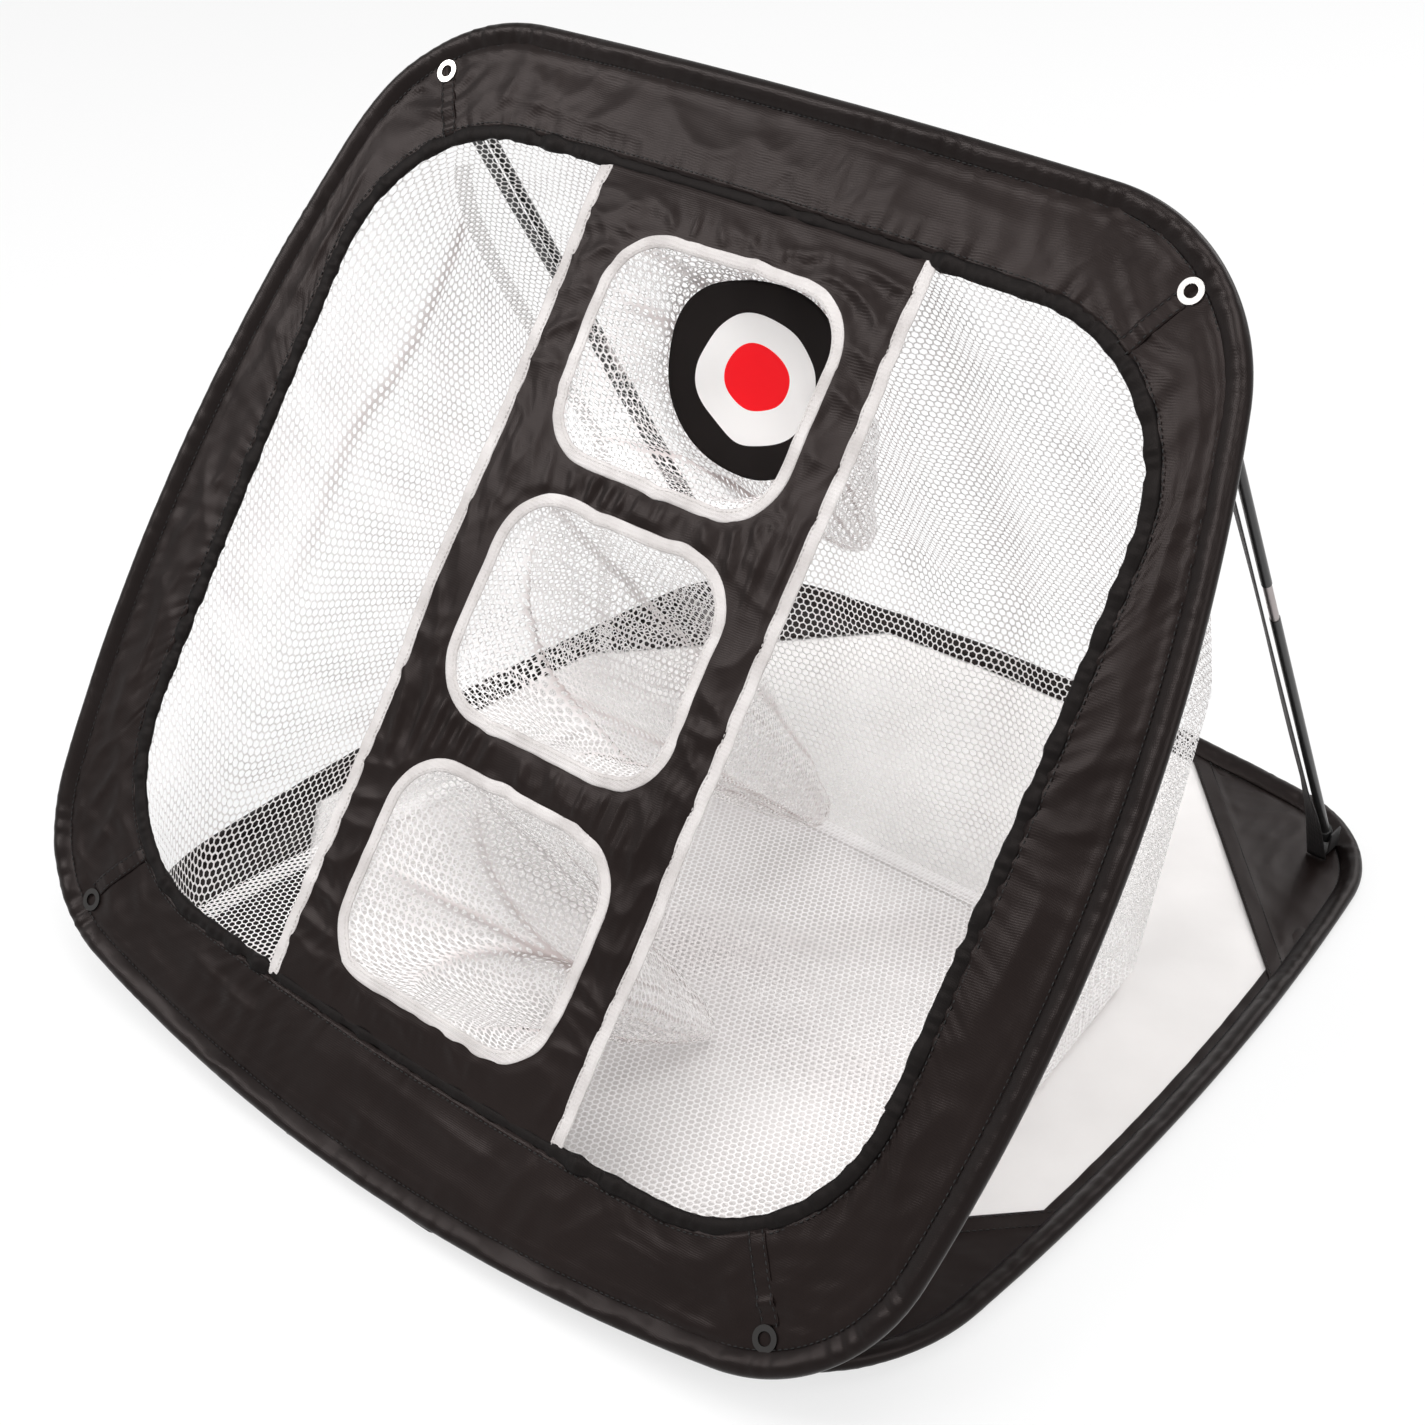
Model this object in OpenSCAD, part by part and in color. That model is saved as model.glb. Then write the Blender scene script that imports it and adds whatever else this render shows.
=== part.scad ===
// Golf chipping net: a sprung front panel with a bagged target window, hinged to a sprung base.
// Frame: origin at the middle of the base on the ground, X across, Y to the back, Z up, mm.

/* [Front panel] */
// width of the panel over its sleeve
panel_w = 650; // [450:5:900]
// height of the panel measured along its slope
panel_h = 606; // [450:2:850]
// lean of the panel from the ground, degrees
panel_lean = 53; // [40:1:70]
// radius of the bowed sides
panel_side_r = 982; // [600:1:3000]
// radius of the nearly straight top edge
panel_top_r = 6000; // [1500:50:9000]
// radius of the bowed bottom edge
panel_bottom_r = 1141; // [700:1:4000]
// radius of the two top corners
panel_top_corner_r = 113; // [60:1:180]
// radius of the two bottom corners
panel_bottom_corner_r = 102; // [60:1:180]

/* [Window] */
// cloth between the side of the panel and the window, at the middle
window_side = 61; // [40:1:120]
// cloth between the upper panel edge and the window
window_above = 64; // [40:1:120]
// cloth between the lower panel edge and the window
window_v = 72; // [40:1:120]
// radius of the window corners
window_corner_r = 96; // [40:1:150]
// width of the gathered binding round the window
binding_w = 6.5; // [4:0.5:12]

/* [Centre strip] */
// width of the strip over its edge tapes
strip_w = 220; // [150:2:320]
// width of an edge tape
tape_w = 8; // [5:0.5:14]
// width of a pocket hole
hole_w = 145; // [90:1:200]
// height of a pocket hole as a share of the window height
hole_rise = 0.2447; // [0.15:0.005:0.26]
// corner radius of a pocket hole
hole_corner_r = 28; // [15:1:45]
// width of the tape ring round a hole
ring_w = 7; // [4:0.5:12]
// height of the top, middle and bottom hole centres in the window, as shares of its height
hole_share = [0.8085, 0.4979, 0.1787];
// diameter of the target patch
target_d = 96; // [60:1:110]

/* [Base] */
// how far the base is narrower than the panel on each side
base_inset = 25; // [0:1:60]
// depth of the base over its sleeve
base_d = 646; // [450:2:900]
// radius of the bowed sides
base_side_r = 2007; // [900:1:6000]
// radius of the back edge
base_back_r = 1335; // [700:1:4000]
// radius of the front edge
base_front_r = 858; // [600:1:4000]
// radius of the back corners
base_back_corner_r = 91; // [50:1:160]
// radius of the front corners
base_front_corner_r = 122; // [60:1:180]
// legs of a back corner patch, across and forward
back_patch = [196, 217];
// legs of a front corner patch, across and back
front_patch = [221, 235];

/* [Sleeves and hoops] */
// radius of the stuffed sleeve round a hoop
sleeve_r = 5.5; // [4.5:0.1:8]
// radius of the spring hoop
hoop_r = 2.5; // [1.5:0.1:3.5]
// thickness of the doubled border cloth
cloth_t = 1.2; // [0.8:0.1:2]

/* [Rods and straps] */
// radius of a support rod
rod_r = 3; // [2:0.1:4]
// directions of the top and bottom eyelets from the middle of their corner bends
eyelet_turn = [51.1, -62];
// bore radius of an eyelet
eyelet_bore_r = 3.5; // [2.5:0.1:5]
// outer radius of an eyelet
eyelet_r = 6.5; // [5:0.1:9]
// length of the bare metal ferrule
ferrule_l = 33; // [20:1:60]
// width of a strap
strap_w = 14; // [8:1:24]

/* [Hidden] */

$fn = 48;
black = [0.10, 0.09, 0.09];
white = [0.92, 0.91, 0.90];
steel = [0.62, 0.60, 0.60];
red = [0.85, 0.13, 0.15];
seat = 0.3;
arc_steps = 9;
bend_steps = 12;
far = 900;

window_w = panel_w - 2 * window_side;
window_h = panel_h - window_v - window_above;
base_w = panel_w - 2 * base_inset;
hole_h = window_h * hole_rise;
hole_v = [for (k = hole_share) window_v + window_h * k];

// a loop is [half width, half height, side radius, side centre, top radius, bottom radius, corner radii]
side_drop = 45;
base_side_drop = 63;
panel_loop = [panel_w / 2, panel_h / 2, panel_side_r, -side_drop, panel_top_r, panel_bottom_r,
    panel_top_corner_r, panel_bottom_corner_r];
window_side_r = 6000;
window_top_r = 5200;
window_bottom_r = 2600;
window_loop = [window_w / 2, window_h / 2, window_side_r, 0, window_top_r, window_bottom_r,
    window_corner_r, window_corner_r];
base_loop = [base_w / 2, base_d / 2, base_side_r, -base_side_drop, base_back_r, base_front_r,
    base_back_corner_r, base_front_corner_r];
window_mid = window_v + window_h / 2;

// the panel's lower tube sits against the front and top of the base's front tube
hinge_y = -base_d / 2 + sleeve_r;
hinge_z = sleeve_r;
tube_gap = 2 * sleeve_r + seat;
tube_y = hinge_y - tube_gap * sin(45);
tube_z = hinge_z + tube_gap * cos(45);

bore_r = hoop_r + seat;
flat_edge = 2 * sleeve_r + seat;
floor_t = 1;
floor_edge = sleeve_r + 4.2;
patch_edge = sleeve_r + 5;
binding_t = 2.6;
strip_t = 0.8;
tape_t = 2;

// eyelets stand just inside the sleeve at the corner bends, the lower pair takes ground pegs
eyelet_inset = 2 * sleeve_r + eyelet_r + 2 * seat;
eyelet_top = eyelet_place(loop_arcs(panel_loop)[1], eyelet_turn[0]);
eyelet_low = eyelet_place(loop_arcs(panel_loop)[7], eyelet_turn[1]);
eyelet_flange_t = 1;
seam_beside = 4.5;
eyelet_barrel_r = eyelet_bore_r + 0.7;

// webbing pockets for the rod feet stand just ahead of the sleeve's back corner bends
foot_r = 4.2;
foot_l = 9;
socket_t = 1.4;
socket_l = 12;
socket_h = 18;
socket_gap = 1;
rod_x = eyelet_top.x;
back_bend = loop_arcs(base_loop)[1];
socket_side = rod_x + foot_r + seat + socket_t - back_bend[0].x;
sleeve_inside = back_bend[1] - 2 * sleeve_r - seat / 2;
sleeve_y = back_bend[0].y + sqrt(sleeve_inside * sleeve_inside - socket_side * socket_side);

// rods lean from those pockets to just behind the top eyelets
rod_foot_y = sleeve_y - socket_gap - socket_l / 2;
rod_foot_z = 13;
rod_gap = 7;
rod_top = panel_at(eyelet_top.y, -cloth_t / 2 - eyelet_flange_t - rod_gap);
rod_rise = rod_top - [rod_foot_y, rod_foot_z];
rod_l = norm(rod_rise);
rod_tilt = atan2(rod_rise.y, rod_rise.x);
ferrule_r = 2.6;
ferrule_low = 8;
ferrule_at = rod_l / 2 - ferrule_low;
strap_ahead = 19;
strap_below = 12;
strap_sag = 14;

// net bag: it narrows to the back, and its back wall is pushed out where the top pocket ends
net_t = 1.2;
net_top_v = window_v + window_h + 2;
net_low_v = window_v - 3;
net_floor_z = 2 * floor_t;
net_edge_x = window_w / 2 + 1;
net_taper = 8.7;
net_foot = [hinge_y + 0.664 * panel_h, net_floor_z];
net_belly = [hinge_y + 0.702 * panel_h, 0.317 * panel_h];
net_front = [hinge_y + 0.136 * panel_h, net_floor_z];

// pocket bag tips: drop below the hole centre and depth behind the panel, as shares of its height
tip_share = [[0.061, 0.3531], [0.0924, 0.495], [0.0429, 0.2723]];
pocket_tip = [for (i = [0:2]) [hole_v[i] - tip_share[i][0] * panel_h, tip_share[i][1] * panel_h]];
mouth_over = 4.5;
pocket_mouth_r = hole_h / 2 + mouth_over;
pocket_tip_r = 6;
target_t = 1;

// a point of the panel's middle plane as [y, z], n in front of it
function panel_at(v, n) = [tube_y + (v - sleeve_r) * cos(panel_lean) - n * sin(panel_lean),
    tube_z + (v - sleeve_r) * sin(panel_lean) + n * cos(panel_lean)];

// where two circles cross, s picks the side
function crossing(p, rp, q, rq, s) =
    let (d = norm(q - p), e = (q - p) / d, a = (rp * rp - rq * rq + d * d) / (2 * d),
        h = sqrt(rp * rp - a * a))
    p + a * e + s * h * [-e.y, e.x];
function heading(v) = atan2(v.y, v.x);
function eyelet_place(bend, turn) = [bend[0].x, bend[0].y + panel_h / 2]
    + (bend[1] - eyelet_inset) * [cos(turn), sin(turn)];

// the eight arcs of a loop, counterclockwise, each [centre, radius, from, to]
function loop_arcs(g) =
    let (s = [g[0] - g[2], g[3]], t = [0, g[1] - g[4]], b = [0, g[5] - g[1]],
        ct = crossing(s, g[2] - g[6], t, g[4] - g[6], 1),
        cb = crossing(s, g[2] - g[7], b, g[5] - g[7], -1),
        a0 = heading(cb - s), a1 = heading(ct - s), a2 = heading(ct - t), a3 = heading(cb - b))
    [[s, g[2], a0, a1], [ct, g[6], a1, a2], [t, g[4], a2, 180 - a2],
        [[-ct.x, ct.y], g[6], 180 - a2, 180 - a1], [[-s.x, s.y], g[2], 180 - a1, 180 - a0],
        [[-cb.x, cb.y], g[7], 180 - a0, 180 - a3], [b, g[5], 180 - a3, 360 + a3],
        [cb, g[7], 360 + a3, 360 + a0]];
function arc_points(a, d) = [for (i = [0:arc_steps - 1])
    let (w = a[2] + (a[3] - a[2]) * i / arc_steps) a[0] + (a[1] - d) * [cos(w), sin(w)]];

// the region inside a loop, d in from its outer edge
module loop_flat(g, d) {
    polygon([for (a = loop_arcs(g)) each arc_points(a, d)]);
}

// a round rod bent along a loop, its bends joined end to end by a slightly fuller bead
module loop_rod(g, d, r) {
    bead = 0.15;
    set_back = 0.5;
    for (a = loop_arcs(g)) {
        trim = set_back / (a[1] - d) * 180 / PI;
        run = a[3] - a[2];
        translate([a[0].x, a[0].y, 0]) {
            rotate([0, 0, a[2] + trim])
                rotate_extrude(angle = run - 2 * trim, $fn = ceil(360 * bend_steps / run))
                    translate([a[1] - d, 0])
                        circle(r, $fn = 24);
            rotate([0, 0, a[2]])
                translate([a[1] - d, 0, 0])
                    sphere(r + bead, $fn = 24);
        }
    }
}

// places a piece drawn as [across, up the slope, out in front] onto the leaning panel
module on_panel() {
    translate([0, tube_y, tube_z])
        rotate([panel_lean, 0, 0])
            translate([0, -sleeve_r, 0])
                children();
}

module sheet(t) {
    translate([0, 0, -t / 2])
        linear_extrude(t)
            children();
}

// draws a [y, z] profile and runs it across in X
module across(w) {
    rotate([90, 0, 90])
        linear_extrude(w, center = true)
            children();
}

module both_corners(s) {
    if (s > 0) children();
    else mirror([1, 0, 0]) children();
}

module rounded_hole(grow) {
    w = hole_w + 2 * grow;
    h = hole_h + 2 * grow;
    r = hole_corner_r + grow;
    square([w - 2 * r, h], center = true);
    square([w, h - 2 * r], center = true);
    for (x = [-1, 1], y = [-1, 1])
        translate([x * (w / 2 - r), y * (h / 2 - r)])
            circle(r, $fn = 32);
}

// ---- base ----
module base_hoop() {
    color(steel)
        translate([0, 0, sleeve_r])
            loop_rod(base_loop, sleeve_r, hoop_r);
}

module base_sleeve() {
    color(black)
        translate([0, 0, sleeve_r])
            difference() {
                loop_rod(base_loop, sleeve_r, sleeve_r);
                loop_rod(base_loop, sleeve_r, bore_r);
            }
}

module base_floor() {
    color(white)
        linear_extrude(floor_t)
            loop_flat(base_loop, floor_edge);
}

// corner triangles of the base, cut by the slanted hems, s is 1 at the back and -1 in front
module corner_area(leg, s) {
    across_end = [base_w / 2 - leg.x, s * base_d / 2];
    along_end = [base_w / 2, s * (base_d / 2 - leg.y)];
    run = (along_end - across_end) / norm(along_end - across_end);
    polygon([across_end - base_w * run, along_end + base_w * run, [base_w, s * base_d]]);
}
module back_corner_area() {
    corner_area(back_patch, 1);
}
module front_corner_area() {
    corner_area(front_patch, -1);
}

module base_patch(s, back) {
    both_corners(s)
        color(black)
            translate([0, 0, floor_t])
                linear_extrude(floor_t)
                    intersection() {
                        loop_flat(base_loop, patch_edge);
                        if (back) back_corner_area();
                        else front_corner_area();
                    }
}
module base_patch_back_left() {
    base_patch(-1, true);
}
module base_patch_back_right() {
    base_patch(1, true);
}
module base_patch_front_left() {
    base_patch(-1, false);
}
module base_patch_front_right() {
    base_patch(1, false);
}

module base_border() {
    border_w = 8;
    color(black)
        translate([0, 0, floor_t])
            linear_extrude(floor_t)
                difference() {
                    loop_flat(base_loop, patch_edge);
                    loop_flat(base_loop, patch_edge + border_w);
                    for (s = [-1, 1])
                        both_corners(s) {
                            back_corner_area();
                            front_corner_area();
                        }
                }
}

// webbing pocket sewn to the back patch, its two cheeks hold the rod foot
module rod_socket(s) {
    cheek_x = foot_r + seat;
    color(black)
        translate([s * rod_x, rod_foot_y, net_floor_z]) {
            translate([-cheek_x - socket_t, -socket_l / 2, 0])
                cube([2 * (cheek_x + socket_t), socket_l, socket_t]);
            for (k = [-1, 1])
                translate([k * (cheek_x + socket_t / 2) - socket_t / 2, -socket_l / 2, 0])
                    cube([socket_t, socket_l, socket_h]);
        }
}
module rod_socket_left() {
    rod_socket(-1);
}
module rod_socket_right() {
    rod_socket(1);
}

// ---- panel ----
module panel_hoop() {
    color(steel)
        on_panel()
            translate([0, panel_h / 2, 0])
                loop_rod(panel_loop, sleeve_r, hoop_r);
}

module panel_sleeve() {
    color(black)
        on_panel()
            translate([0, panel_h / 2, 0])
                difference() {
                    loop_rod(panel_loop, sleeve_r, sleeve_r);
                    loop_rod(panel_loop, sleeve_r, bore_r);
                }
}

// wedge shaped sectors that meet along the slanted corner seams
module border_area(side) {
    mid = [0, panel_h / 2];
    top_seam = eyelet_top + seam_beside * [1, -1];
    low_seam = eyelet_low - seam_beside * [1, 1];
    ru = mid + 3 * (top_seam - mid);
    rl = mid + 3 * (low_seam - mid);
    if (side == "top") polygon([mid, ru, [-ru.x, ru.y]]);
    if (side == "bottom") polygon([mid, [-rl.x, rl.y], rl]);
    if (side == "right") polygon([mid, rl, [far, 0], [far, panel_h], ru]);
    if (side == "left") polygon([mid, [-ru.x, ru.y], [-far, panel_h], [-far, 0], [-rl.x, rl.y]]);
}

module border(side) {
    color(black)
        on_panel()
            sheet(cloth_t)
                difference() {
                    intersection() {
                        translate([0, panel_h / 2])
                            loop_flat(panel_loop, flat_edge);
                        border_area(side);
                    }
                    translate([0, window_mid])
                        loop_flat(window_loop, -binding_w);
                    for (s = [-1, 1]) {
                        translate([s * eyelet_top.x, eyelet_top.y])
                            circle(eyelet_barrel_r);
                        translate([s * eyelet_low.x, eyelet_low.y])
                            circle(eyelet_barrel_r);
                    }
                }
}
module border_top() {
    border("top");
}
module border_right() {
    border("right");
}
module border_bottom() {
    border("bottom");
}
module border_left() {
    border("left");
}

module window_binding() {
    color(black)
        on_panel()
            sheet(binding_t)
                translate([0, window_mid])
                    difference() {
                        loop_flat(window_loop, -binding_w);
                        loop_flat(window_loop, 0);
                    }
}

module centre_strip() {
    color(black)
        on_panel()
            sheet(strip_t)
                difference() {
                    intersection() {
                        translate([0, window_mid])
                            loop_flat(window_loop, 0);
                        translate([0, panel_h / 2])
                            square([strip_w - 2 * tape_w, panel_h], center = true);
                    }
                    for (v = hole_v)
                        translate([0, v])
                            rounded_hole(ring_w);
                }
}

module strip_tape(s) {
    color(white)
        on_panel()
            sheet(tape_t)
                intersection() {
                    translate([0, window_mid])
                        loop_flat(window_loop, 0);
                    translate([s * (strip_w - tape_w) / 2, panel_h / 2])
                        square([tape_w, panel_h], center = true);
                }
}
module strip_tape_left() {
    strip_tape(-1);
}
module strip_tape_right() {
    strip_tape(1);
}

module pocket_ring(i) {
    color(white)
        on_panel()
            sheet(tape_t)
                translate([0, hole_v[i]])
                    difference() {
                        rounded_hole(ring_w);
                        rounded_hole(0);
                    }
}
module pocket_ring_top() {
    pocket_ring(0);
}
module pocket_ring_middle() {
    pocket_ring(1);
}
module pocket_ring_bottom() {
    pocket_ring(2);
}

// frame of a pocket: origin at the hole centre, -Z runs down the middle of the bag
function pocket_drop(i) = atan((hole_v[i] - pocket_tip[i][0]) / pocket_tip[i][1]);
function pocket_len(i) = norm([hole_v[i] - pocket_tip[i][0], pocket_tip[i][1]]);
module in_pocket(i) {
    on_panel()
        translate([0, hole_v[i], 0])
            rotate([-pocket_drop(i), 0, 0])
                children();
}

// cone shaped bag, open at the ring
module pocket_net(i) {
    over = 24;
    l = pocket_len(i);
    slope = (pocket_mouth_r - pocket_tip_r) / l;
    wall = net_t / cos(atan(slope));
    color(white)
        difference() {
            in_pocket(i)
                difference() {
                    translate([0, 0, -l])
                        cylinder(h = l + over, r1 = pocket_tip_r, r2 = pocket_mouth_r + slope * over);
                    translate([0, 0, net_t - l])
                        cylinder(h = l + over, r1 = pocket_tip_r - wall + slope * net_t,
                            r2 = pocket_mouth_r - wall + slope * (over + net_t));
                }
            on_panel()
                translate([-strip_w / 2, 0, -tape_t / 2])
                    cube([strip_w, panel_h, strip_w]);
        }
}
module pocket_net_top() {
    pocket_net(0);
}
module pocket_net_middle() {
    pocket_net(1);
}
module pocket_net_bottom() {
    pocket_net(2);
}

// round printed patch that sits in the top bag where the bag is as wide as the patch
module target_patch() {
    slope = (pocket_mouth_r - pocket_tip_r) / pocket_len(0);
    depth = (pocket_mouth_r - net_t * 1.3 - target_d / 2) / slope;
    color(red)
        in_pocket(0)
            translate([0, 0, -depth])
                cylinder(h = target_t, d = target_d);
}

// tape sewn along the middle of the front edge, it holds the panel tube against the base tube
module hinge_tape() {
    tape_l = 110;
    tape_th = 0.8;
    color(black)
        translate([-tape_l / 2, hinge_y, hinge_z])
            rotate([45, 0, 0])
                translate([0, -sleeve_r - seat - tape_th, 0])
                    cube([tape_l, tape_th, tube_gap]);
}

module eyelet(s, at) {
    color(steel)
        on_panel()
            translate([s * at.x, at.y, 0])
                difference() {
                    union() {
                        cylinder(h = cloth_t, r = eyelet_barrel_r, center = true);
                        for (k = [-1, 1])
                            translate([0, 0, k * (cloth_t + eyelet_flange_t) / 2])
                                cylinder(h = eyelet_flange_t, r = eyelet_r, center = true);
                    }
                    cylinder(h = 4 * cloth_t, r = eyelet_bore_r, center = true);
                }
}
module eyelet_top_left() {
    eyelet(-1, eyelet_top);
}
module eyelet_top_right() {
    eyelet(1, eyelet_top);
}
module eyelet_bottom_left() {
    eyelet(-1, eyelet_low);
}
module eyelet_bottom_right() {
    eyelet(1, eyelet_low);
}

// ---- catch net ----
net_top = panel_at(net_top_v, -binding_t / 2);
net_low = panel_at(net_low_v, -binding_t / 2);
net_reach = 700;

// one side of the bag, which narrows towards the back
module net_plan(inner, outer) {
    narrow = net_reach * tan(net_taper);
    on_panel()
        rotate([90, 0, 0])
            linear_extrude(2 * far, center = true)
                polygon([[inner, 0], [outer, 0], [outer - narrow, -net_reach], [inner - narrow, -net_reach]]);
}

// wall that follows a line of [y, z] points, its thickness laid up and back
module net_wall(line) {
    lift = [net_t, net_t];
    n = len(line) - 1;
    intersection() {
        across(2 * panel_w)
            intersection() {
                polygon(concat(line, [for (i = [n:-1:0]) line[i] + lift]));
                behind_panel();
            }
        net_whole_plan();
    }
}

module net_whole_plan() {
    narrow = net_reach * tan(net_taper);
    on_panel()
        rotate([90, 0, 0])
            linear_extrude(2 * far, center = true)
                polygon([[-net_edge_x, 0], [net_edge_x, 0], [net_edge_x - narrow, -net_reach],
                    [narrow - net_edge_x, -net_reach]]);
}

// everything behind the back face of the window binding and above the ground cloth
module behind_panel() {
    a = panel_at(-20, -binding_t / 2);
    b = panel_at(panel_h, -binding_t / 2);
    intersection() {
        polygon([a, b, b + [far, 0], a + [far, 0]]);
        translate([-far, net_floor_z])
            square([2 * far, far]);
    }
}

module catch_net_back() {
    color(white)
        net_wall([net_top - [net_t, 0], net_belly, net_foot]);
}

module catch_net_floor() {
    color(white)
        net_wall([net_low - [net_t, 0], net_front, net_foot - [net_t, 0]]);
}

module catch_net_side(s) {
    both_corners(s)
        color(white)
            intersection() {
                net_plan(net_edge_x, net_edge_x + net_t);
                across(2 * panel_w)
                    polygon([net_low, net_front, net_foot, net_belly, net_top]);
            }
}
module catch_net_left() {
    catch_net_side(-1);
}
module catch_net_right() {
    catch_net_side(1);
}

// ---- rods: drawn along +Z from the foot, then leaned ----
module on_rod(s) {
    translate([s * rod_x, rod_foot_y, rod_foot_z])
        rotate([rod_tilt - 90, 0, 0])
            children();
}
module rod_lower(s) {
    color(black)
        on_rod(s)
            translate([0, 0, foot_l])
                cylinder(h = ferrule_at - foot_l, r = rod_r, $fn = 24);
}
module rod_ferrule(s) {
    color(steel)
        on_rod(s)
            translate([0, 0, ferrule_at])
                cylinder(h = ferrule_l, r = ferrule_r, $fn = 24);
}
module rod_upper(s) {
    color(black)
        on_rod(s)
            translate([0, 0, ferrule_at + ferrule_l])
                cylinder(h = rod_l - ferrule_at - ferrule_l, r = rod_r, $fn = 24);
}
module rod_foot(s) {
    color(black)
        on_rod(s) {
            sphere(foot_r, $fn = 32);
            cylinder(h = foot_l, r = foot_r, $fn = 32);
        }
}
module rod_lower_left() {
    rod_lower(-1);
}
module rod_ferrule_left() {
    rod_ferrule(-1);
}
module rod_upper_left() {
    rod_upper(-1);
}
module rod_foot_left() {
    rod_foot(-1);
}
module rod_lower_right() {
    rod_lower(1);
}
module rod_ferrule_right() {
    rod_ferrule(1);
}
module rod_upper_right() {
    rod_upper(1);
}
module rod_foot_right() {
    rod_foot(1);
}

// slack webbing strap from the back of the panel down to the base, on the panel side of the rod
module strap(s) {
    strap_t = 1.2;
    upper = panel_at(eyelet_top.y - strap_below, -cloth_t / 2);
    lower = [rod_foot_y - strap_ahead, net_floor_z];
    chord = norm(upper - lower);
    dir = (upper - lower) / chord;
    out = [-dir.y, dir.x];
    r = (chord * chord / 4 + strap_sag * strap_sag) / (2 * strap_sag);
    hub = (upper + lower) / 2 - out * (r - strap_sag);
    color(black)
        translate([s * rod_x, 0, 0])
            across(strap_w)
                intersection() {
                    translate(hub)
                        difference() {
                            circle(r, $fn = 720);
                            circle(r - strap_t, $fn = 720);
                        }
                    polygon([hub + 0.9 * (lower - hub), hub + 1.1 * (lower - hub), hub + 1.1 * (upper - hub),
                        hub + 0.9 * (upper - hub)]);
                }
}
module strap_left() {
    strap(-1);
}
module strap_right() {
    strap(1);
}

base_hoop();
base_sleeve();
base_floor();
base_border();
base_patch_back_left();
base_patch_back_right();
base_patch_front_left();
base_patch_front_right();
rod_socket_left();
rod_socket_right();
panel_hoop();
panel_sleeve();
border_top();
border_right();
border_bottom();
border_left();
window_binding();
centre_strip();
strip_tape_left();
strip_tape_right();
pocket_ring_top();
pocket_ring_middle();
pocket_ring_bottom();
pocket_net_top();
pocket_net_middle();
pocket_net_bottom();
target_patch();
hinge_tape();
eyelet_top_left();
eyelet_top_right();
eyelet_bottom_left();
eyelet_bottom_right();
catch_net_back();
catch_net_left();
catch_net_right();
catch_net_floor();
rod_lower_left();
rod_ferrule_left();
rod_upper_left();
rod_foot_left();
rod_lower_right();
rod_ferrule_right();
rod_upper_right();
rod_foot_right();
strap_left();
strap_right();
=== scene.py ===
# %% [markdown]
# # A fold-flat golf chipping net
# The real object is a sprung hoop covered in black taffeta that leans on rods over a second,
# flat hoop. A knitted net hangs from the window of the leaning panel, and a centre strip holds
# three pocket holes. The CAD model gives the place and size of everything; this script dresses it
# in cloth, mesh, tape and stitching. Everything is in metres at the end, but sewing sizes are
# easier to read in millimetres, so helpers take millimetres and convert once.

# %% Start: the CAD frame, and the sizes that the CAD source shares
import math

import bmesh
import bpy
import numpy as np
from mathutils import Matrix, Vector


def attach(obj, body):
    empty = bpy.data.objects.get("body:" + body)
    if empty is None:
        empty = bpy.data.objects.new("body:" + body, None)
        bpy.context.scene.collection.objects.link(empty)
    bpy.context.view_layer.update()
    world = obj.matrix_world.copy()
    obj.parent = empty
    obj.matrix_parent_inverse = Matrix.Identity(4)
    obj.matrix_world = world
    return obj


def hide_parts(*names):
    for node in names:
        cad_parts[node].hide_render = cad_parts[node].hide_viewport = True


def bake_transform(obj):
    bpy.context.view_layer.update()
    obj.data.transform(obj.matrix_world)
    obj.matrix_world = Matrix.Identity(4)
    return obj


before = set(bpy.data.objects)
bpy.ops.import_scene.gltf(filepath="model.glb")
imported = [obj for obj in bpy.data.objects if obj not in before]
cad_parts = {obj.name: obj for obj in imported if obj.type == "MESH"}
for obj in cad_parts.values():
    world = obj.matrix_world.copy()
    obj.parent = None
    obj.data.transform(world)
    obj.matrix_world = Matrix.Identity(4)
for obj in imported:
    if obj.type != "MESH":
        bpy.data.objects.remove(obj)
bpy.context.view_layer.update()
MM = 0.001
LEAN = math.radians(53)
SLEEVE_R = 5.5
BASE_DEPTH = 646.0
HINGE = (-BASE_DEPTH / 2 + SLEEVE_R, SLEEVE_R)
TUBE_GAP = (2 * SLEEVE_R + 0.3) * math.sin(math.radians(45))
TUBE = (HINGE[0] - TUBE_GAP, HINGE[1] + TUBE_GAP)
# A loop is its half width, half height, side radius, height of the sides' centres, top radius,
# bottom radius, and the radii of the upper and the lower corners, in millimetres.
PANEL_LOOP = (325, 303, 982, -45, 6000, 1141, 113, 102)
WINDOW_LOOP = (264, 235, 6000, 0, 5200, 2600, 96, 96)
BASE_LOOP = (300, 323, 2007, -63, 1335, 858, 91, 122)
PANEL_MID, WINDOW_MID = 303.0, 307.0
EYELETS = {"top": (239.99, 564.09), "bottom": (252.13, 49.93)}
POCKETS = ("top", "middle", "bottom")
HOLES = (452.0, 306.0, 156.0)
HOLE_W, HOLE_H, HOLE_R, RING_W = 145.0, 115.0, 28.0, 7.0
SIDES = ((1, "right"), (-1, "left"))

# %% [markdown]
# ## The camera and the light
# The camera stands in front, to the right and above, and looks down at the net by a third of a
# right angle. Its three axes are written out as columns, so nothing has to aim it. A product like
# this is lit by big soft lamps: black taffeta shows its folds only where a broad pale lamp is
# reflected in it, so one lamp stands high on the left and another hangs overhead. Two weaker ones,
# on the right and behind, keep the far sides readable. The world is white only to the rays that
# show a background, and a soft grey sky to the rays that light the cloth.

# %% Camera
def add_object(name, data):
    made = bpy.data.objects.new(name, data)
    bpy.context.scene.collection.objects.link(made)
    return made


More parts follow.
